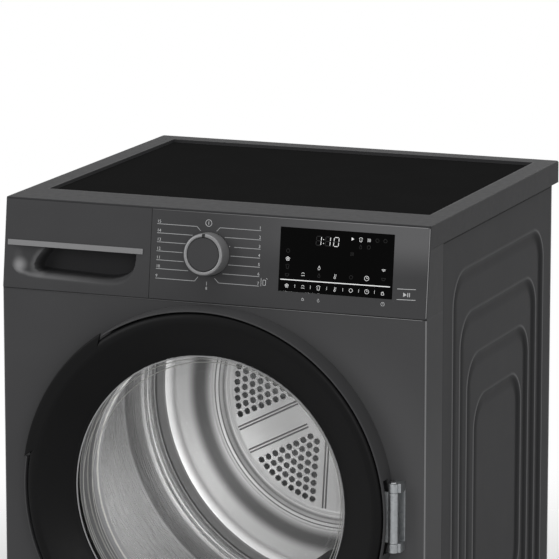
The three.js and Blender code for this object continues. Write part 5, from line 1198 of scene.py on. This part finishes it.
def dial_marks():
    lines = Ink("dial_lines", "grey_line")
    numbers = Ink("dial_numbers", "white_ink")
    for at, path in enumerate(LEADS):
        lines.stroke(path, 0.75)
        x, s = path[-1]
        drop, align = (5.6, "CENTER") if at == 7 else (-1.6, "RIGHT" if x > 0 else "LEFT")
        numbers.write(str(at + 1), x, s + drop, 5.6, align)
    numbers.ring(-7, 14.4, 4.3, 0.7).stroke([(-7, 12.2), (-7, 16.6)], 0.8)
    numbers.ring(23.6, 42.9, 0.5, 0.5, sides=10)
    numbers.stroke([(69.6, 80.8), (69.6, 91.4)], 0.5)
    numbers.stroke([(72.2, 83.2), (76, 83.2), (76, 89.8), (72.2, 89.8), (72.2, 83.2)], 0.6)
    numbers.ring(76.6, 82.2, 1.5, 0.5, 0, 90, 8)
    lines.done()
    numbers.done()


ink("grey_line", "#a8a9aa", "#b2b3b4")
dial_marks()

# %% [markdown]
# ## Display
# Segments on the black pane show a time and some signs. Lit ones glow a little and the others are just
# visible. A white line parts the display from the row of touch keys. The signs are generic: a play
# triangle, a clock, a thermometer, a shirt, a drop, a flower, a lock.

# %% Display
def seven_segments(lit, dim, x, s, digit):
    """A figure of seven bars; those that aren't in it are drawn dim."""
    high, wide, lean, width, trim = 11.6, 6.6, 0.9, 0.85, 0.12
    corners = {"tl": (x + lean, s), "tr": (x + wide + lean, s), "ml": (x + lean / 2, s + high / 2),
               "mr": (x + wide + lean / 2, s + high / 2), "bl": (x, s + high), "br": (x + wide, s + high)}
    bars = {"a": "tl tr", "b": "tr mr", "c": "mr br", "d": "bl br", "e": "ml bl", "f": "tl ml", "g": "ml mr"}
    for bar, ends in bars.items():
        (x0, s0), (x1, s1) = (corners[end] for end in ends.split())
        along, down = (x1 - x0) * trim, (s1 - s0) * trim
        pen = lit if bar in {"0": "abcdef", "1": "bc"}[digit] else dim
        pen.stroke([(x0 + along, s0 + down), (x1 - along, s1 - down)], width)


def icon(pen, sign, x, s, size):
    """A small generic sign about size millimetres high, drawn in halves of that size from its centre."""
    r = size / 2
    w = 0.5

    def line(*points, width=w):
        pen.stroke([(x + r * a, s + r * b) for a, b in points], width)

    def ring(a, b, radius, start=0, sweep=360, sides=10, width=w):
        pen.ring(x + r * a, s + r * b, r * radius, width, start, sweep, sides)

    if sign == "play":
        pen.patch([(x - r * 0.7, s - r), (x - r * 0.7, s + r), (x + r, s)])
    elif sign == "ring":
        ring(0, 0, 0.85, sides=16)
    elif sign == "clock":
        ring(0, 0, 1, sides=18)
        line((0, -0.6), (0, 0), (0.5, 0))
    elif sign == "shirt":
        line((-1, -0.5), (-0.4, -1), (0.4, -1), (1, -0.5))
        line((-0.55, -0.4), (-0.55, 1), (0.55, 1), (0.55, -0.4))
    elif sign == "heat":
        ring(0, 0.6, 0.4, sides=12)
        line((0, -1), (0, 0.25))
        line((0.6, -1), (0.6, 0), width=w * 0.7)
    elif sign == "drop":
        line((-0.6, 0.3), (0, -1), (0.6, 0.3))
        ring(0, 0.35, 0.6, 180, 180)
    elif sign == "flower":
        for a in angles(90, 378, 4):
            ring(0.55 * math.cos(a), -0.55 * math.sin(a), 0.36, sides=8, width=w * 0.9)
    elif sign == "lock":
        line((-0.6, 0), (0.6, 0), (0.6, 1), (-0.6, 1), (-0.6, -w / size))
        ring(0, 0, 0.45, 0, 180)
    elif sign == "bell":
        ring(0, -0.1, 0.55, 0, 180)
        line((-0.8, 0.6), (0.8, 0.6))
    elif sign == "basket":
        line((-1, -0.3), (-0.6, 0.8), (0.6, 0.8), (1, -0.3), (-1, -0.3))
    elif sign == "waves":
        for a in (-0.6, 0, 0.6):
            line((a - w / r, 0.8), (a + w / r, 0), (a - w / r, -0.8))
    elif sign == "wifi":
        for radius in (0.5, 1.0, 1.5):
            ring(0, 0.8, radius, 45, 90, 8, w * 0.9)


def display():
    lit = Ink("display_lit", "display_white", -0.3)
    dim = Ink("display_dim", "display_faint", -0.3)
    for digit, x in (("1", 143.0), ("1", 155.6), ("0", 167.2)):
        seven_segments(lit, dim, x, 21.2, digit)
    for s in (25.0, 30.0):
        lit.stroke([(152.9, s), (153.9, s)], 1.0)
    icon(lit, "play", 193.2, 21.6, 4.2)
    for sign, x, s in (("shirt", 204.4, 21.8), ("waves", 215.7, 21.8), ("flower", 105.2, 53),
                       ("bell", 127.1, 71.7), ("drop", 149, 62), ("heat", 171, 71.4),
                       ("clock", 214.8, 71), ("wifi", 237.4, 59.4)):
        icon(lit, sign, x, s, 6.0 if sign in ("flower", "heat", "clock", "bell") else 5.2)
    for sign, x, s in (("ring", 227, 21.4), ("ring", 237.9, 21.2), ("drop", 204.5, 31), ("ring", 215.7, 30.8),
                       ("waves", 193.3, 41), ("ring", 105, 42.6), ("shirt", 105.1, 63),
                       ("basket", 105, 73.4), ("drop", 149.1, 72), ("ring", 193.3, 71),
                       ("basket", 237.7, 70)):
        icon(dim, sign, x, s, 5.4)
    lit.stroke([(96, 80.2), (247, 79.6)], 1.15)
    keys = (("flower", 105.3), ("bell", 127.6), ("shirt", 149.1), ("heat", 171.6), ("ring", 193.8),
            ("clock", 215.6), ("lock", 237.3))
    for sign, x in keys:
        icon(lit, sign, x, 88.0, 5.6)
        if x > 106:
            lit.stroke([(x - 11, 85.6), (x - 11, 90)], 0.4)
    lit.done()
    dim.done()
    below = Ink("fascia_signs", "white_ink")
    icon(below, "lock", 128.3, 103.6, 4.4)
    icon(below, "drop", 149.9, 104.2, 4.4)
    icon(below, "clock", 238.3, 102.4, 4.8)
    below.stroke([(257, 81.3), (282.5, 80.6)], 0.7).stroke([(257, 94.9), (282.5, 94.2)], 0.7)
    icon(below, "play", 267.6, 88.2, 5.6)
    below.stroke([(271.8, 85.5), (271.8, 90.9)], 1.1).stroke([(274.2, 85.4), (274.2, 90.8)], 1.1)
    below.done()


display()

# %% [markdown]
# ## Door
# Four rings make the door: a grey outer wall, a black bezel that dishes towards the glass, the clear
# bowl, and a frame behind them that carries the hook and the hinge arm. All are profiles turned about
# the door's axis, with the small rounds of the real mouldings in the profile itself. The grip bridges
# the outer wall over 45 degrees, and a pocket behind it leaves room for the fingers.

# %% Door
HINGE = (262.0, FRONT - 19.0)


def notch():
    """Room for the hinge barrel and its arm in the side of the ring."""
    z = (DOOR_Z - 49.5, DOOR_Z + 49.5)
    tool = Shape().turned([(0, z[0]), (8.5, z[0]), (8.5, z[1]), (0, z[1])], 32, HINGE, "Z")
    arm = Shape().box((HINGE[0] - 20, HINGE[0]), (HINGE[1] - 8.5, HINGE[1] + 8.5), z)
    return [tool, arm]


def door_turned(profile, sides, base):
    return Shape().turned(profile, sides, (0, DOOR_Z), base=base)


def sector(shape, profile, start, sweep, sides, lean=0.0, base=0.0):
    """A turned piece of a ring whose ends lean by some degrees per millimetre of radius."""
    middle = sum(r for r, h in profile) / len(profile)
    loops = []
    for k in range(sides + 1):
        share = k / sides
        loop = []
        for r, h in profile:
            shift = lean * (r - middle) * (1 - 2 * share)
            a = math.radians(start + sweep * share + shift)
            loop.append((r * math.cos(a), base + h, DOOR_Z + r * math.sin(a)))
        loops.append(loop)
    return shape.skin(loops, caps=True)


def door_ring():
    back, front = FRONT - 1, FRONT - 33
    wall = [(257, back), (256.9, back - 1), (255.4, front + 2.6), (255.1, front + 1.2), (254.6, front + 0.5),
            (254.0, front + 0.2), (253.4, front + 0.4), (253.2, front + 4), (254.2, back)]
    shape = sector(Shape(), wall, 171, 313, 184)
    step = [(229, -292.2), (231.5, -292.2), (231.5, -275.4), (229, -275.4)]
    sector(shape, step, 123, 49, 32)
    for angle in (123, 171.2):
        sector(shape, [(231.6, -292.2), (250.8, -296.5), (252.5, -275.4), (231.6, -275.4)], angle, 0.8, 1)
    piece(shape, "door_wall", ["door_ring"], cutters=notch(), finish="ring_grey")


def door_bezel():
    face = FRONT - 34
    rim = [(251.4, 5.4), (251.1, 4), (250.2, 2.6), (248.4, 1.2),
           (245.6, 0.3), (242.6, 0.1), (239.4, 0.5), (236, 1.6), (222, 8.6),
           (205, 17.8), (196.6, 22.9), (194.4, 24.6), (193.4, 25.2),
           (191.9, 25.6), (190.9, 26.4), (190.6, 27.5), (196.6, 27.5),
           (238, 4.6), (251.4, 6.6)]
    shape = door_turned(rim, 192, face)
    grip = [(241.5, 0.1), (250, 0), (255.6, 0.1), (257.2, 0.7), (257.9, 1.8),
            (257.7, 3), (256.6, 3.6), (241.5, 3.6)]
    sector(shape, grip, 125, 45, 60, -0.25, face)
    piece(shape, "door_face", ["door_bezel"], finish="door_black")


def door_glass():
    profile = [(0, 53), (90, 52.1), (150, 50), (158, 48), (163.4, 43.6),
               (166, 38), (187.6, -3.7), (196.6, -3.7), (196.6, -6.2),
               (184.4, -6.2), (183.2, -5.5), (162, 37), (159.6, 41),
               (155.4, 44.4), (148, 46), (90, 48.1), (0, 49)]
    piece(door_turned(profile, 160, FRONT), "door_bowl", ["door_window"], finish="clear_glass")


def door_frame():
    back = FRONT - 1
    ring = [(190.6, -3.2), (252.9, -3.2), (253.3, -2.8), (253.3, -1.4),
            (252.9, -1), (206.6, -1), (206, -0.2), (206, 16), (205.4, 16.7),
            (204, 16.7), (203.5, 16), (203.5, -0.4), (202.8, -1), (190.6, -1)]
    shape = door_turned(ring, 144, FRONT)
    shape.box((-238, -226), (back - 1, FRONT + 16), (DOOR_Z - 7.1, DOOR_Z + 10.1))
    shape.box((-238, -226), (FRONT + 13, FRONT + 16), (DOOR_Z - 10.1, DOOR_Z - 7.0))
    piece(shape, "door_back", ["door_frame"], cutters=notch(), finish="inner_black")


def door_seal():
    lip = [(198, 20.9), (198, 17.8), (198.8, 17.1), (200.5, 17.5),
           (202, 18.6), (203.6, 17.4), (205, 17.1), (206, 17.9),
           (206, 20.9)]
    piece(door_turned(lip, 144, FRONT), "mouth_seal", ["door_seal"], finish="rubber")


door_ring()
door_bezel()
door_glass()
door_frame()
door_seal()
refined("hinge_bracket", "hinge_plate", 0.5)
refined("hinge_arm", "hinge_strap", 0.5)
refined("latch_housing", "latch_box", 1.0)

# %% [markdown]
# ## Patterns
# Holes, ribs, screws and slots repeat, so each is one Geometry Nodes tree: a row of points, one small
# shape on every point, and the sizes as named inputs. The tree ends in real, finished mesh, because
# copies that exist only as instances are lost when the object is exported.

# %% Pattern writer
class Pattern(Graph):
    """A Geometry Nodes tree; lengths are in metres and angles in radians."""

    def __init__(self, name, **sizes):
        super().__init__(bpy.data.node_groups.new(name, "GeometryNodeTree"))
        sockets = self.tree.interface
        sockets.new_socket("Geometry", in_out="OUTPUT", socket_type="NodeSocketGeometry")
        self.given = {}
        for label, value in sizes.items():
            kind = "NodeSocketInt" if isinstance(value, int) else "NodeSocketFloat"
            made = sockets.new_socket(label.replace("_", " "), in_out="INPUT", socket_type=kind)
            self.given[made.identifier] = value
        entry = self.tree.nodes.new("NodeGroupInput")
        self.size = {label: Wire(self, entry.outputs[label.replace("_", " ")]) for label in sizes}

    def index(self):
        return self.node("GeometryNodeInputIndex")

    def vector(self, x=0.0, y=0.0, z=0.0):
        return self.node("ShaderNodeCombineXYZ", None, {0: x, 1: y, 2: z})

    def points(self, count, place=None):
        made = self.node("GeometryNodePoints", None, {"Count": count})
        if place is None:
            return made
        return self.node("GeometryNodeSetPosition", None, {"Geometry": made, "Position": place})

    def copies(self, points, shape, turn=None, chosen=None):
        inputs = {"Points": points, "Instance": shape}
        if turn is not None:
            inputs["Rotation"] = turn
        if chosen is not None:
            inputs["Selection"] = chosen
        return self.node("GeometryNodeInstanceOnPoints", None, inputs)

    def moved(self, shape, place=None, turn=None):
        inputs = {"Geometry": shape}
        if place is not None:
            inputs["Translation"] = place
        if turn is not None:
            inputs["Rotation"] = turn
        return self.node("GeometryNodeTransform", None, inputs)

    def finished(self, name, shape, finish):
        """The pattern as one plain mesh."""
        real = self.node("GeometryNodeRealizeInstances", None, {"Geometry": shape})
        coated = self.node("GeometryNodeSetMaterial", None, {"Geometry": real, "Material": FINISH[finish]})
        out = self.tree.nodes.new("NodeGroupOutput")
        self.feed(out.inputs[0], coated)
        item = added(name, bpy.data.meshes.new(name))
        row = item.modifiers.new("pattern", "NODES")
        row.node_group = self.tree
        for key, value in self.given.items():
            row[key] = value
        settle(item)
        item.data.name = name
        print(f"{name}: {len(item.data.polygons)} faces")
        return item


# %% [markdown]
# ## Drum
# The drum is rolled from thin stainless steel. Beads near its back stiffen it, and the back plate is
# pressed with a deep ring. The heated air comes in through holes in the back, which lie on rings round
# the axis, row against row half a step apart, in six fields between smooth spokes.
#
# The steel's colour carries painted reflections and painted shade: the bright and dark bands that the
# inside of the drum shows on it are painted in zones. Each zone is a soft step along the depth or the
# radius, and the zones multiply.

# %% Drum shell and back
DRUM_DEPTH = 492
DRUM_BACK = FRONT + DRUM_DEPTH
DRUM_RADIUS = 276
DRUM_INNER = 274.8
DRUM_MOUTH = 100
BEADS = (419, 434, 449)
BEAD_WIDTH = 9
BEAD_HEIGHT = 2.6
PLATE = DRUM_BACK - 2


def steel_with_painted_reflections(name, measure, reflection_zones, metallic, size, stretch, depth):
    """Steel with painted reflections over zones: start, end and width of the step in millimetres, and the
    share of brightness kept there.
    """
    finish = Finish(name, Metallic=metallic)
    if measure == "depth":
        way = finish.vectors("DOT_PRODUCT", finish.place, (0, 1, 0))
    else:
        centred = finish.vectors("SUBTRACT", finish.place, (0, 0, DRUM_Z / 1000))
        way = finish.vectors("LENGTH", finish.vectors("MULTIPLY", centred, (1, 0, 1)))
    painted_light = 1.0
    for start, end, step, share in reflection_zones:
        up, down = (finish.smooth(way, (at - step / 2) / 1000, (at + step / 2) / 1000)
                    for at in (start, end))
        painted_light = (1.0 - (up - down) * (1.0 - share)) * painted_light
    scratches = finish.grain(size, 3, stretch)
    finish.colours(painted_light * (0.94 + 0.06 * scratches), "#000000", "#f4f4f4")
    keep(name, finish.rough(0.27, scratches, 16 * depth).relief(scratches, depth, 0.25))


# Painted reflections and painted shade in bands on the shell and the back plate.
steel_with_painted_reflections("shell_steel", "depth", [
    (-200, 78, 14, 0.42), (78, 139, 10, 0.17), (139, 146, 3, 0.55), (153, 160, 3, 0.4), (174, 181, 3, 0.4),
    (189, 230, 4, 0.5)], 1.0, 0.7, (60, 1, 60), 0.01)
steel_with_painted_reflections("plate_steel", "radius", [
    (255, 267, 5, 0.6), (267, 290, 3, 0.45), (202, 228, 18, 0.2), (190, 192, 1, 0.25),
    (184.8, 186.2, 0.8, 0.35),
    (178.4, 181.6, 3, 0.3), (174.4, 175.2, 0.6, 0.6)], 0.45, 3, (1, 1, 1), 0.001)


def drum_shell():
    profile = [(DRUM_RADIUS, DRUM_MOUTH), (DRUM_INNER, DRUM_MOUTH)]
    for depth in BEADS:
        profile += [(DRUM_INNER - BEAD_HEIGHT * math.sin(a) ** 2, depth + BEAD_WIDTH * a / math.pi)
                    for a in angles(0, 180, 5)]
    profile += [(DRUM_INNER, DRUM_DEPTH), (DRUM_RADIUS, DRUM_DEPTH)]
    piece(Shape().turned(profile, 160, (0, DRUM_Z), base=FRONT), "drum_wall", ["drum_shell"],
          finish="shell_steel")


def laid(item, finish, body, slot, sharp=40):
    """A finished pattern becomes a piece of its own."""
    tied(shaded(item, sharp), finish, body=body, slot=slot)


def round_the_axis(tree, count, shape):
    """Copies turned evenly about the drum's axis, at the drum's back."""
    turn = 0.0 - (tree.index() * tree.maths("DIVIDE", 2 * math.pi, count) + tree.size["First_angle"])
    copies = tree.copies(tree.points(count), shape, turn=tree.vector(0.0, turn, 0.0))
    return tree.moved(copies, tree.vector(0.0, tree.size["Plate"], tree.size["Axis_height"]))


def hole_field(name, shape, finish):
    """Copies of a shape at the holes; shape is made by a function of the tree."""
    tree = Pattern(name, Inner_radius=0.0782, Ring_step=0.0117, Rings=8, Row=22, Pitch=0.0118, Fields=6,
                   First_angle=math.radians(237), Half_spoke=0.027, Hole_radius=0.0042, Plate=PLATE / 1000,
                   Axis_height=DRUM_Z / 1000)
    size, index = tree.size, tree.index()
    ring = tree.maths("FLOOR", index / size["Row"])
    radius = size["Inner_radius"] + ring * size["Ring_step"]
    angle = (index % size["Row"] + (ring % 2.0 * 0.5 - 10.5)) * size["Pitch"] / radius
    half_field = tree.maths("DIVIDE", math.pi, size["Fields"])
    across = radius * tree.maths("SINE", half_field - tree.maths("ABSOLUTE", angle))
    place = tree.vector(radius * tree.maths("COSINE", angle), 0.0, radius * tree.maths("SINE", angle))
    field = tree.copies(tree.points(size["Rings"] * size["Row"], place), shape(tree),
                        chosen=across > size["Half_spoke"])
    return tree.finished(name, round_the_axis(tree, size["Fields"], field), finish)


def hole(tree):
    rod = tree.node("GeometryNodeMeshCylinder", None, {
        "Vertices": 14, "Radius": tree.size["Hole_radius"], "Depth": 0.008})
    return tree.moved(rod, turn=tree.vector(math.pi / 2))


def lip(tree):
    rim = tree.node("GeometryNodeCurvePrimitiveCircle", None, {
        "Resolution": 14, "Radius": tree.size["Hole_radius"] + 0.0002})
    wire = tree.node("GeometryNodeCurvePrimitiveCircle", None, {"Resolution": 4, "Radius": 0.00045})
    bead = tree.node("GeometryNodeCurveToMesh", None, {"Curve": rim, "Profile Curve": wire})
    return tree.moved(bead, turn=tree.vector(math.pi / 2))


def drum_back():
    profile = [(0, -2), (168, -2), (169.4, -2.8), (173, -2.9), (174.6, -2), (178, -2),
               (180.4, -2.6), (182.4, -4.6), (185, -8.6), (187, -10), (193, -10),
               (195.4, -9.5), (197, -8.4), (199.6, -8.2), (230, -9.4)]
    profile += [(250.6 + 24 * math.sin(a), 24 * math.cos(a) - 34) for a in angles(0, 90, 6)]
    profile += [(274.6, 0), (272.6, 0), (272.6, -32), (266, -16), (250, -8),
                (200, -6), (187.4, -7.6), (182.2, -1.4), (176, 0),
                (0, 0)]
    item = as_object(Shape().turned(profile, 144, (0, DRUM_Z), base=DRUM_BACK), "drum_plate")
    cleaned = bmesh.new()
    cleaned.from_mesh(item.data)
    bmesh.ops.remove_doubles(cleaned, verts=cleaned.verts, dist=2e-6)
    bmesh.ops.recalc_face_normals(cleaned, faces=cleaned.faces)
    cleaned.to_mesh(item.data)
    cleaned.free()
    rods = cut_by(item, hole_field("drum_holes", hole, "drum_steel"), "MANIFOLD")
    settle(item)
    bpy.data.objects.remove(rods)
    item.data.materials.clear()
    flattened(item, 30)
    tied(item, "plate_steel", ["drum_back"])
    print("drum_plate", len(item.data.polygons), "faces")
    laid(hole_field("drum_hole_lips", lip, "drum_steel"), "drum_steel", "drum", "steel", 80)


drum_shell()
drum_back()

# %% [markdown]
# ## Spokes, lifters and the mouth of the drum
# Two fine ribs run along each side of every spoke. The three lifters are blunt plastic ridges that
# carry the clothes up. The pale bulkhead closes the front, and its round throat leads from the door to
# the drum; its pale moulding is painted grey, as painted shade for the throat deep behind the door.
# Fine white beads ring the throat, and the light rings on the rim of the glass and on the bowl are a
# painted highlight and painted reflections.

# %% Spokes and lifters
def spoke_ribs():
    tree = Pattern("spoke_ribs", Spokes=6, First_angle=math.radians(207), Length=0.1, Middle=0.117,
                   Width=0.0012, Offset=0.0158, Twin_gap=0.0044, Plate=PLATE / 1000,
                   Axis_height=DRUM_Z / 1000)
    size = tree.size
    bar = tree.node("GeometryNodeMeshCylinder", None, {
        "Vertices": 8, "Radius": size["Width"], "Depth": size["Length"]})
    bar = tree.moved(bar, turn=tree.vector(0.0, math.pi / 2))
    index = tree.index()
    side = tree.maths("FLOOR", index / 2.0) * 2.0 - 1.0
    offset = side * (size["Offset"] + index % 2.0 * size["Twin_gap"])
    four = tree.copies(tree.points(4, tree.vector(size["Middle"], 0.0, offset)), bar)
    item = tree.finished("spoke_ribs", round_the_axis(tree, size["Spokes"], four), "rib_steel")
    laid(item, "rib_steel", "drum", "steel", 50)


spoke_ribs()
hub = [(0, PLATE - 2.6), (30, PLATE - 2.4), (40, PLATE - 1.8), (44, PLATE - 0.6), (45, PLATE + 0.4),
       (0, PLATE + 0.4)]
piece(Shape().turned(hub, 72, (0, DRUM_Z)), "drum_hub", body="drum", slot="steel", finish="plate_steel")
for number in (1, 2, 3):
    refined(f"drum_lifter_{number}", f"lifter_{number}", 5.0, segments=4)
# The bulkhead's moulding in a darker grey: painted shade.
refined("front_bulkhead", "bulkhead", 0.4, sharp=35, finish="grey_moulding")
refined("lint_filter", "filter_frame", 0.6)


def throat_beads():
    """Fine white rings round the throat, a light rim on the glass that is a painted highlight, and light
    rings on the bowl's wall that are painted reflections.
    """
    low, high = box_mm("lint_filter")
    way_out = Shape().box((low.x - 2, high.x + 2), (low.y - 2, high.y + 2), (low.z, DOOR_Z - 100))
    beads = Shape()
    for depth, radius, width in ((25, 199.0, 2.0), (36, 199.0, 1.6), (50, 198.6, 3.0), (66, 199.0, 1.6),
                                 (83, 198.6, 4.0)):
        half = width / 2
        beads.turned([(radius, 0), (radius + 0.4, -half), (200.4, -half), (200.4, half),
                      (radius + 0.4, half)], 144, (0, DOOR_Z), base=FRONT + depth)
    piece(beads, "throat_beads", body="cabinet", slot="white_plastic", finish="white_moulding",
          cutters=[way_out])
    # The light rim of the glass: a painted highlight.
    rim = door_turned([(188.6, -7.4), (190.2, -7.4), (190.2, -6.3), (188.6, -6.3)], 144, FRONT)
    piece(rim, "glass_rim", body="door", slot="trim_grey", finish="edge_grey")
    # Light rings on the clear bowl: painted reflections.
    bowl = Shape()
    for radius, depth, width in ((184.5, 2.0, 0.8), (177.3, 15.5, 0.9)):
        bowl.turned([(radius, -width), (radius + 0.5, 0), (radius, width), (radius - 0.5, 0)],
                    144, (0, DOOR_Z), base=FRONT + depth)
    piece(bowl, "bowl_beads", body="door", slot="trim_grey", finish="white_moulding")


throat_beads()


# %% [markdown]
# ## Light in the drum
# The machine has its own lamp behind the door, and it is on. A broad soft disc in the mouth of the drum
# stands for it, and the steel mirrors that disc.

# %% Drum lamp
LAMP_WIDTH = 0.36
LAMP_WATTS = 0.66


def add_drum_lamp():
    data = bpy.data.lights.new("drum_lamp", "AREA")
    data.shape, data.size, data.energy = "DISK", LAMP_WIDTH, LAMP_WATTS
    lamp = added("drum_lamp", data)
    lamp.location = (0.0, (FRONT + 60) / 1000, (DOOR_Z + 20) / 1000)
    lamp.rotation_euler = (math.pi / 2, 0, 0)
    lamp.visible_camera = False
    print("drum lamp", data.energy, "W")


add_drum_lamp()

# %% [markdown]
# ## Plinth, flap and feet
# The plinth is a moulded skirt with an air grille. The service flap in it gives access to the heat
# exchanger. Each foot is a rubber pad on a threaded rod with a hexagon nut, so the machine can be
# levelled.

# %% Plinth, flap and feet
refined("plinth", "plinth_skirt", 0.7)
refined("service_flap", "flap_door", 1.0)


def feet():
    for number in (1, 2, 3, 4):
        low, high = box_mm(f"foot_{number}")
        x, y = (low.x + high.x) / 2, (low.y + high.y) / 2
        pad = [(0, 0), (18.6, 0), (19.6, 0.4), (20, 1.4), (20, 6.6), (19.2, 8.6), (17, 9.8), (12, 10),
               (5.2, 10)]
        pad += [(5.2 - 0.55 * (k % 2), 10 + 0.8 * k) for k in range(1, int((high.z - 10.4) / 0.8))]
        pad += [(4.6, high.z - 0.2), (0, high.z - 0.2)]
        foot = Shape().turned(pad, 32, (x, y), "Z")
        foot.turned([(0, 10.1), (8.4, 10.1), (9.2, 10.9), (9.2, 15.2), (8.4, 16), (0, 16)], 6, (x, y), "Z")
        piece(foot, f"levelling_pad_{number}", [f"foot_{number}"], finish="rubber", sharp=30)


feet()

# %% [markdown]
# ## Back of the machine
# The rear panel is closed by a pressed cover over the air duct. Screws hold it round its rim, and
# louvres let air into the machine. Screws and louvres are copies made by a pattern.

# %% Back
def rear_screws():
    tree = Pattern("rear_screws", Across=7, Up=6, Pitch_x=0.0715, Pitch_z=0.1, Half=0.2145, Low=0.24,
                   Face=0.2652, Top=0.757, Foot=0.223, Side=0.232)
    size, index = tree.size, tree.index()
    columns = size["Across"]
    top = index < columns
    bottom = (index > columns - 0.5) * (index < columns * 2.0)
    edge = 1.0 - top - bottom
    left = index - columns * 2.0
    rise = left % size["Up"]
    x = (top + bottom) * (index % columns * size["Pitch_x"] - size["Half"])
    x += edge * ((left < size["Up"]) * 2.0 - 1.0) * size["Side"]
    z = top * size["Top"] + bottom * size["Foot"] + edge * (size["Low"] + rise * size["Pitch_z"])
    head = tree.node("GeometryNodeMeshCone", None, {
        "Vertices": 12, "Radius Top": 0.0026, "Radius Bottom": 0.0043, "Depth": 0.0022})
    points = tree.points((columns + size["Up"]) * 2.0, tree.vector(x, size["Face"], z))
    item = tree.finished("rear_screws", tree.copies(points, head, turn=tree.vector(-math.pi / 2)), "zinc")
    laid(item, "zinc", "cabinet", "zinc")


def louvres():
    tree = Pattern("louvres", Rows=9, Fields=2, Pitch=0.009, Length=0.08, Width=0.0022, Low=0.086,
                   Face=0.2646, Span=0.3)
    size = tree.size
    slot = tree.node("GeometryNodeMeshCylinder", None, {
        "Vertices": 10, "Radius": size["Width"], "Depth": size["Length"]})
    slot = tree.moved(slot, turn=tree.vector(0.0, math.pi / 2))
    row = tree.copies(tree.points(size["Rows"], tree.vector(0.0, 0.0, tree.index() * size["Pitch"])), slot)
    across = (tree.index() - 0.5) * size["Span"]
    fields = tree.copies(tree.points(size["Fields"], tree.vector(across, size["Face"], size["Low"])), row)
    item = tree.finished("louvres", fields, "inner_black")
    laid(item, "inner_black", "cabinet", "inner_black")


refined("rear_panel", "back_sheet", 0.3, finish="lined_enamel")
refined("rear_cover", "duct_cover", 2.5, segments=4)
rear_screws()
louvres()
refined("cord_gland", "gland", 0.8)
refined("bearing_bracket", "bearing_plate", 0.6, finish="dull_zinc")

# %% [markdown]
# ## Works inside
# The tank is seen when its drawer is out, and the rollers, the motor and the heat pump may be seen
# through an opening, so their edges are rounded too. What stays out of sight keeps its CAD mesh.

# %% Works inside
for node, name, bevel in (("water_tank", "tank_box", 1.5), ("water_tank_lid", "tank_cap", 0.6),
                          ("tank_housing", "tank_tray", 0.8), ("base_tray", "module_tray", 1.0),
                          ("drum_roller_left", "roller_tyre_left", 1.0),
                          ("drum_roller_right", "roller_tyre_right", 1.0),
                          ("idler_pulley", "idler_tyre", 0.8), ("fan_housing", "fan_case", 1.0),
                          ("motor", "motor_can", 1.5), ("compressor", "compressor_pot", 4.0),
                          ("drain_pump", "pump_body", 1.0)):
    refined(node, name, bevel)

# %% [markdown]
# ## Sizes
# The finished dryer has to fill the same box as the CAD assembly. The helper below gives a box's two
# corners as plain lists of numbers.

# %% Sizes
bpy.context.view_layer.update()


def plain(box):
    """The two corners as lists of numbers."""
    return [[round(float(number), 6) for number in corner] for corner in box]
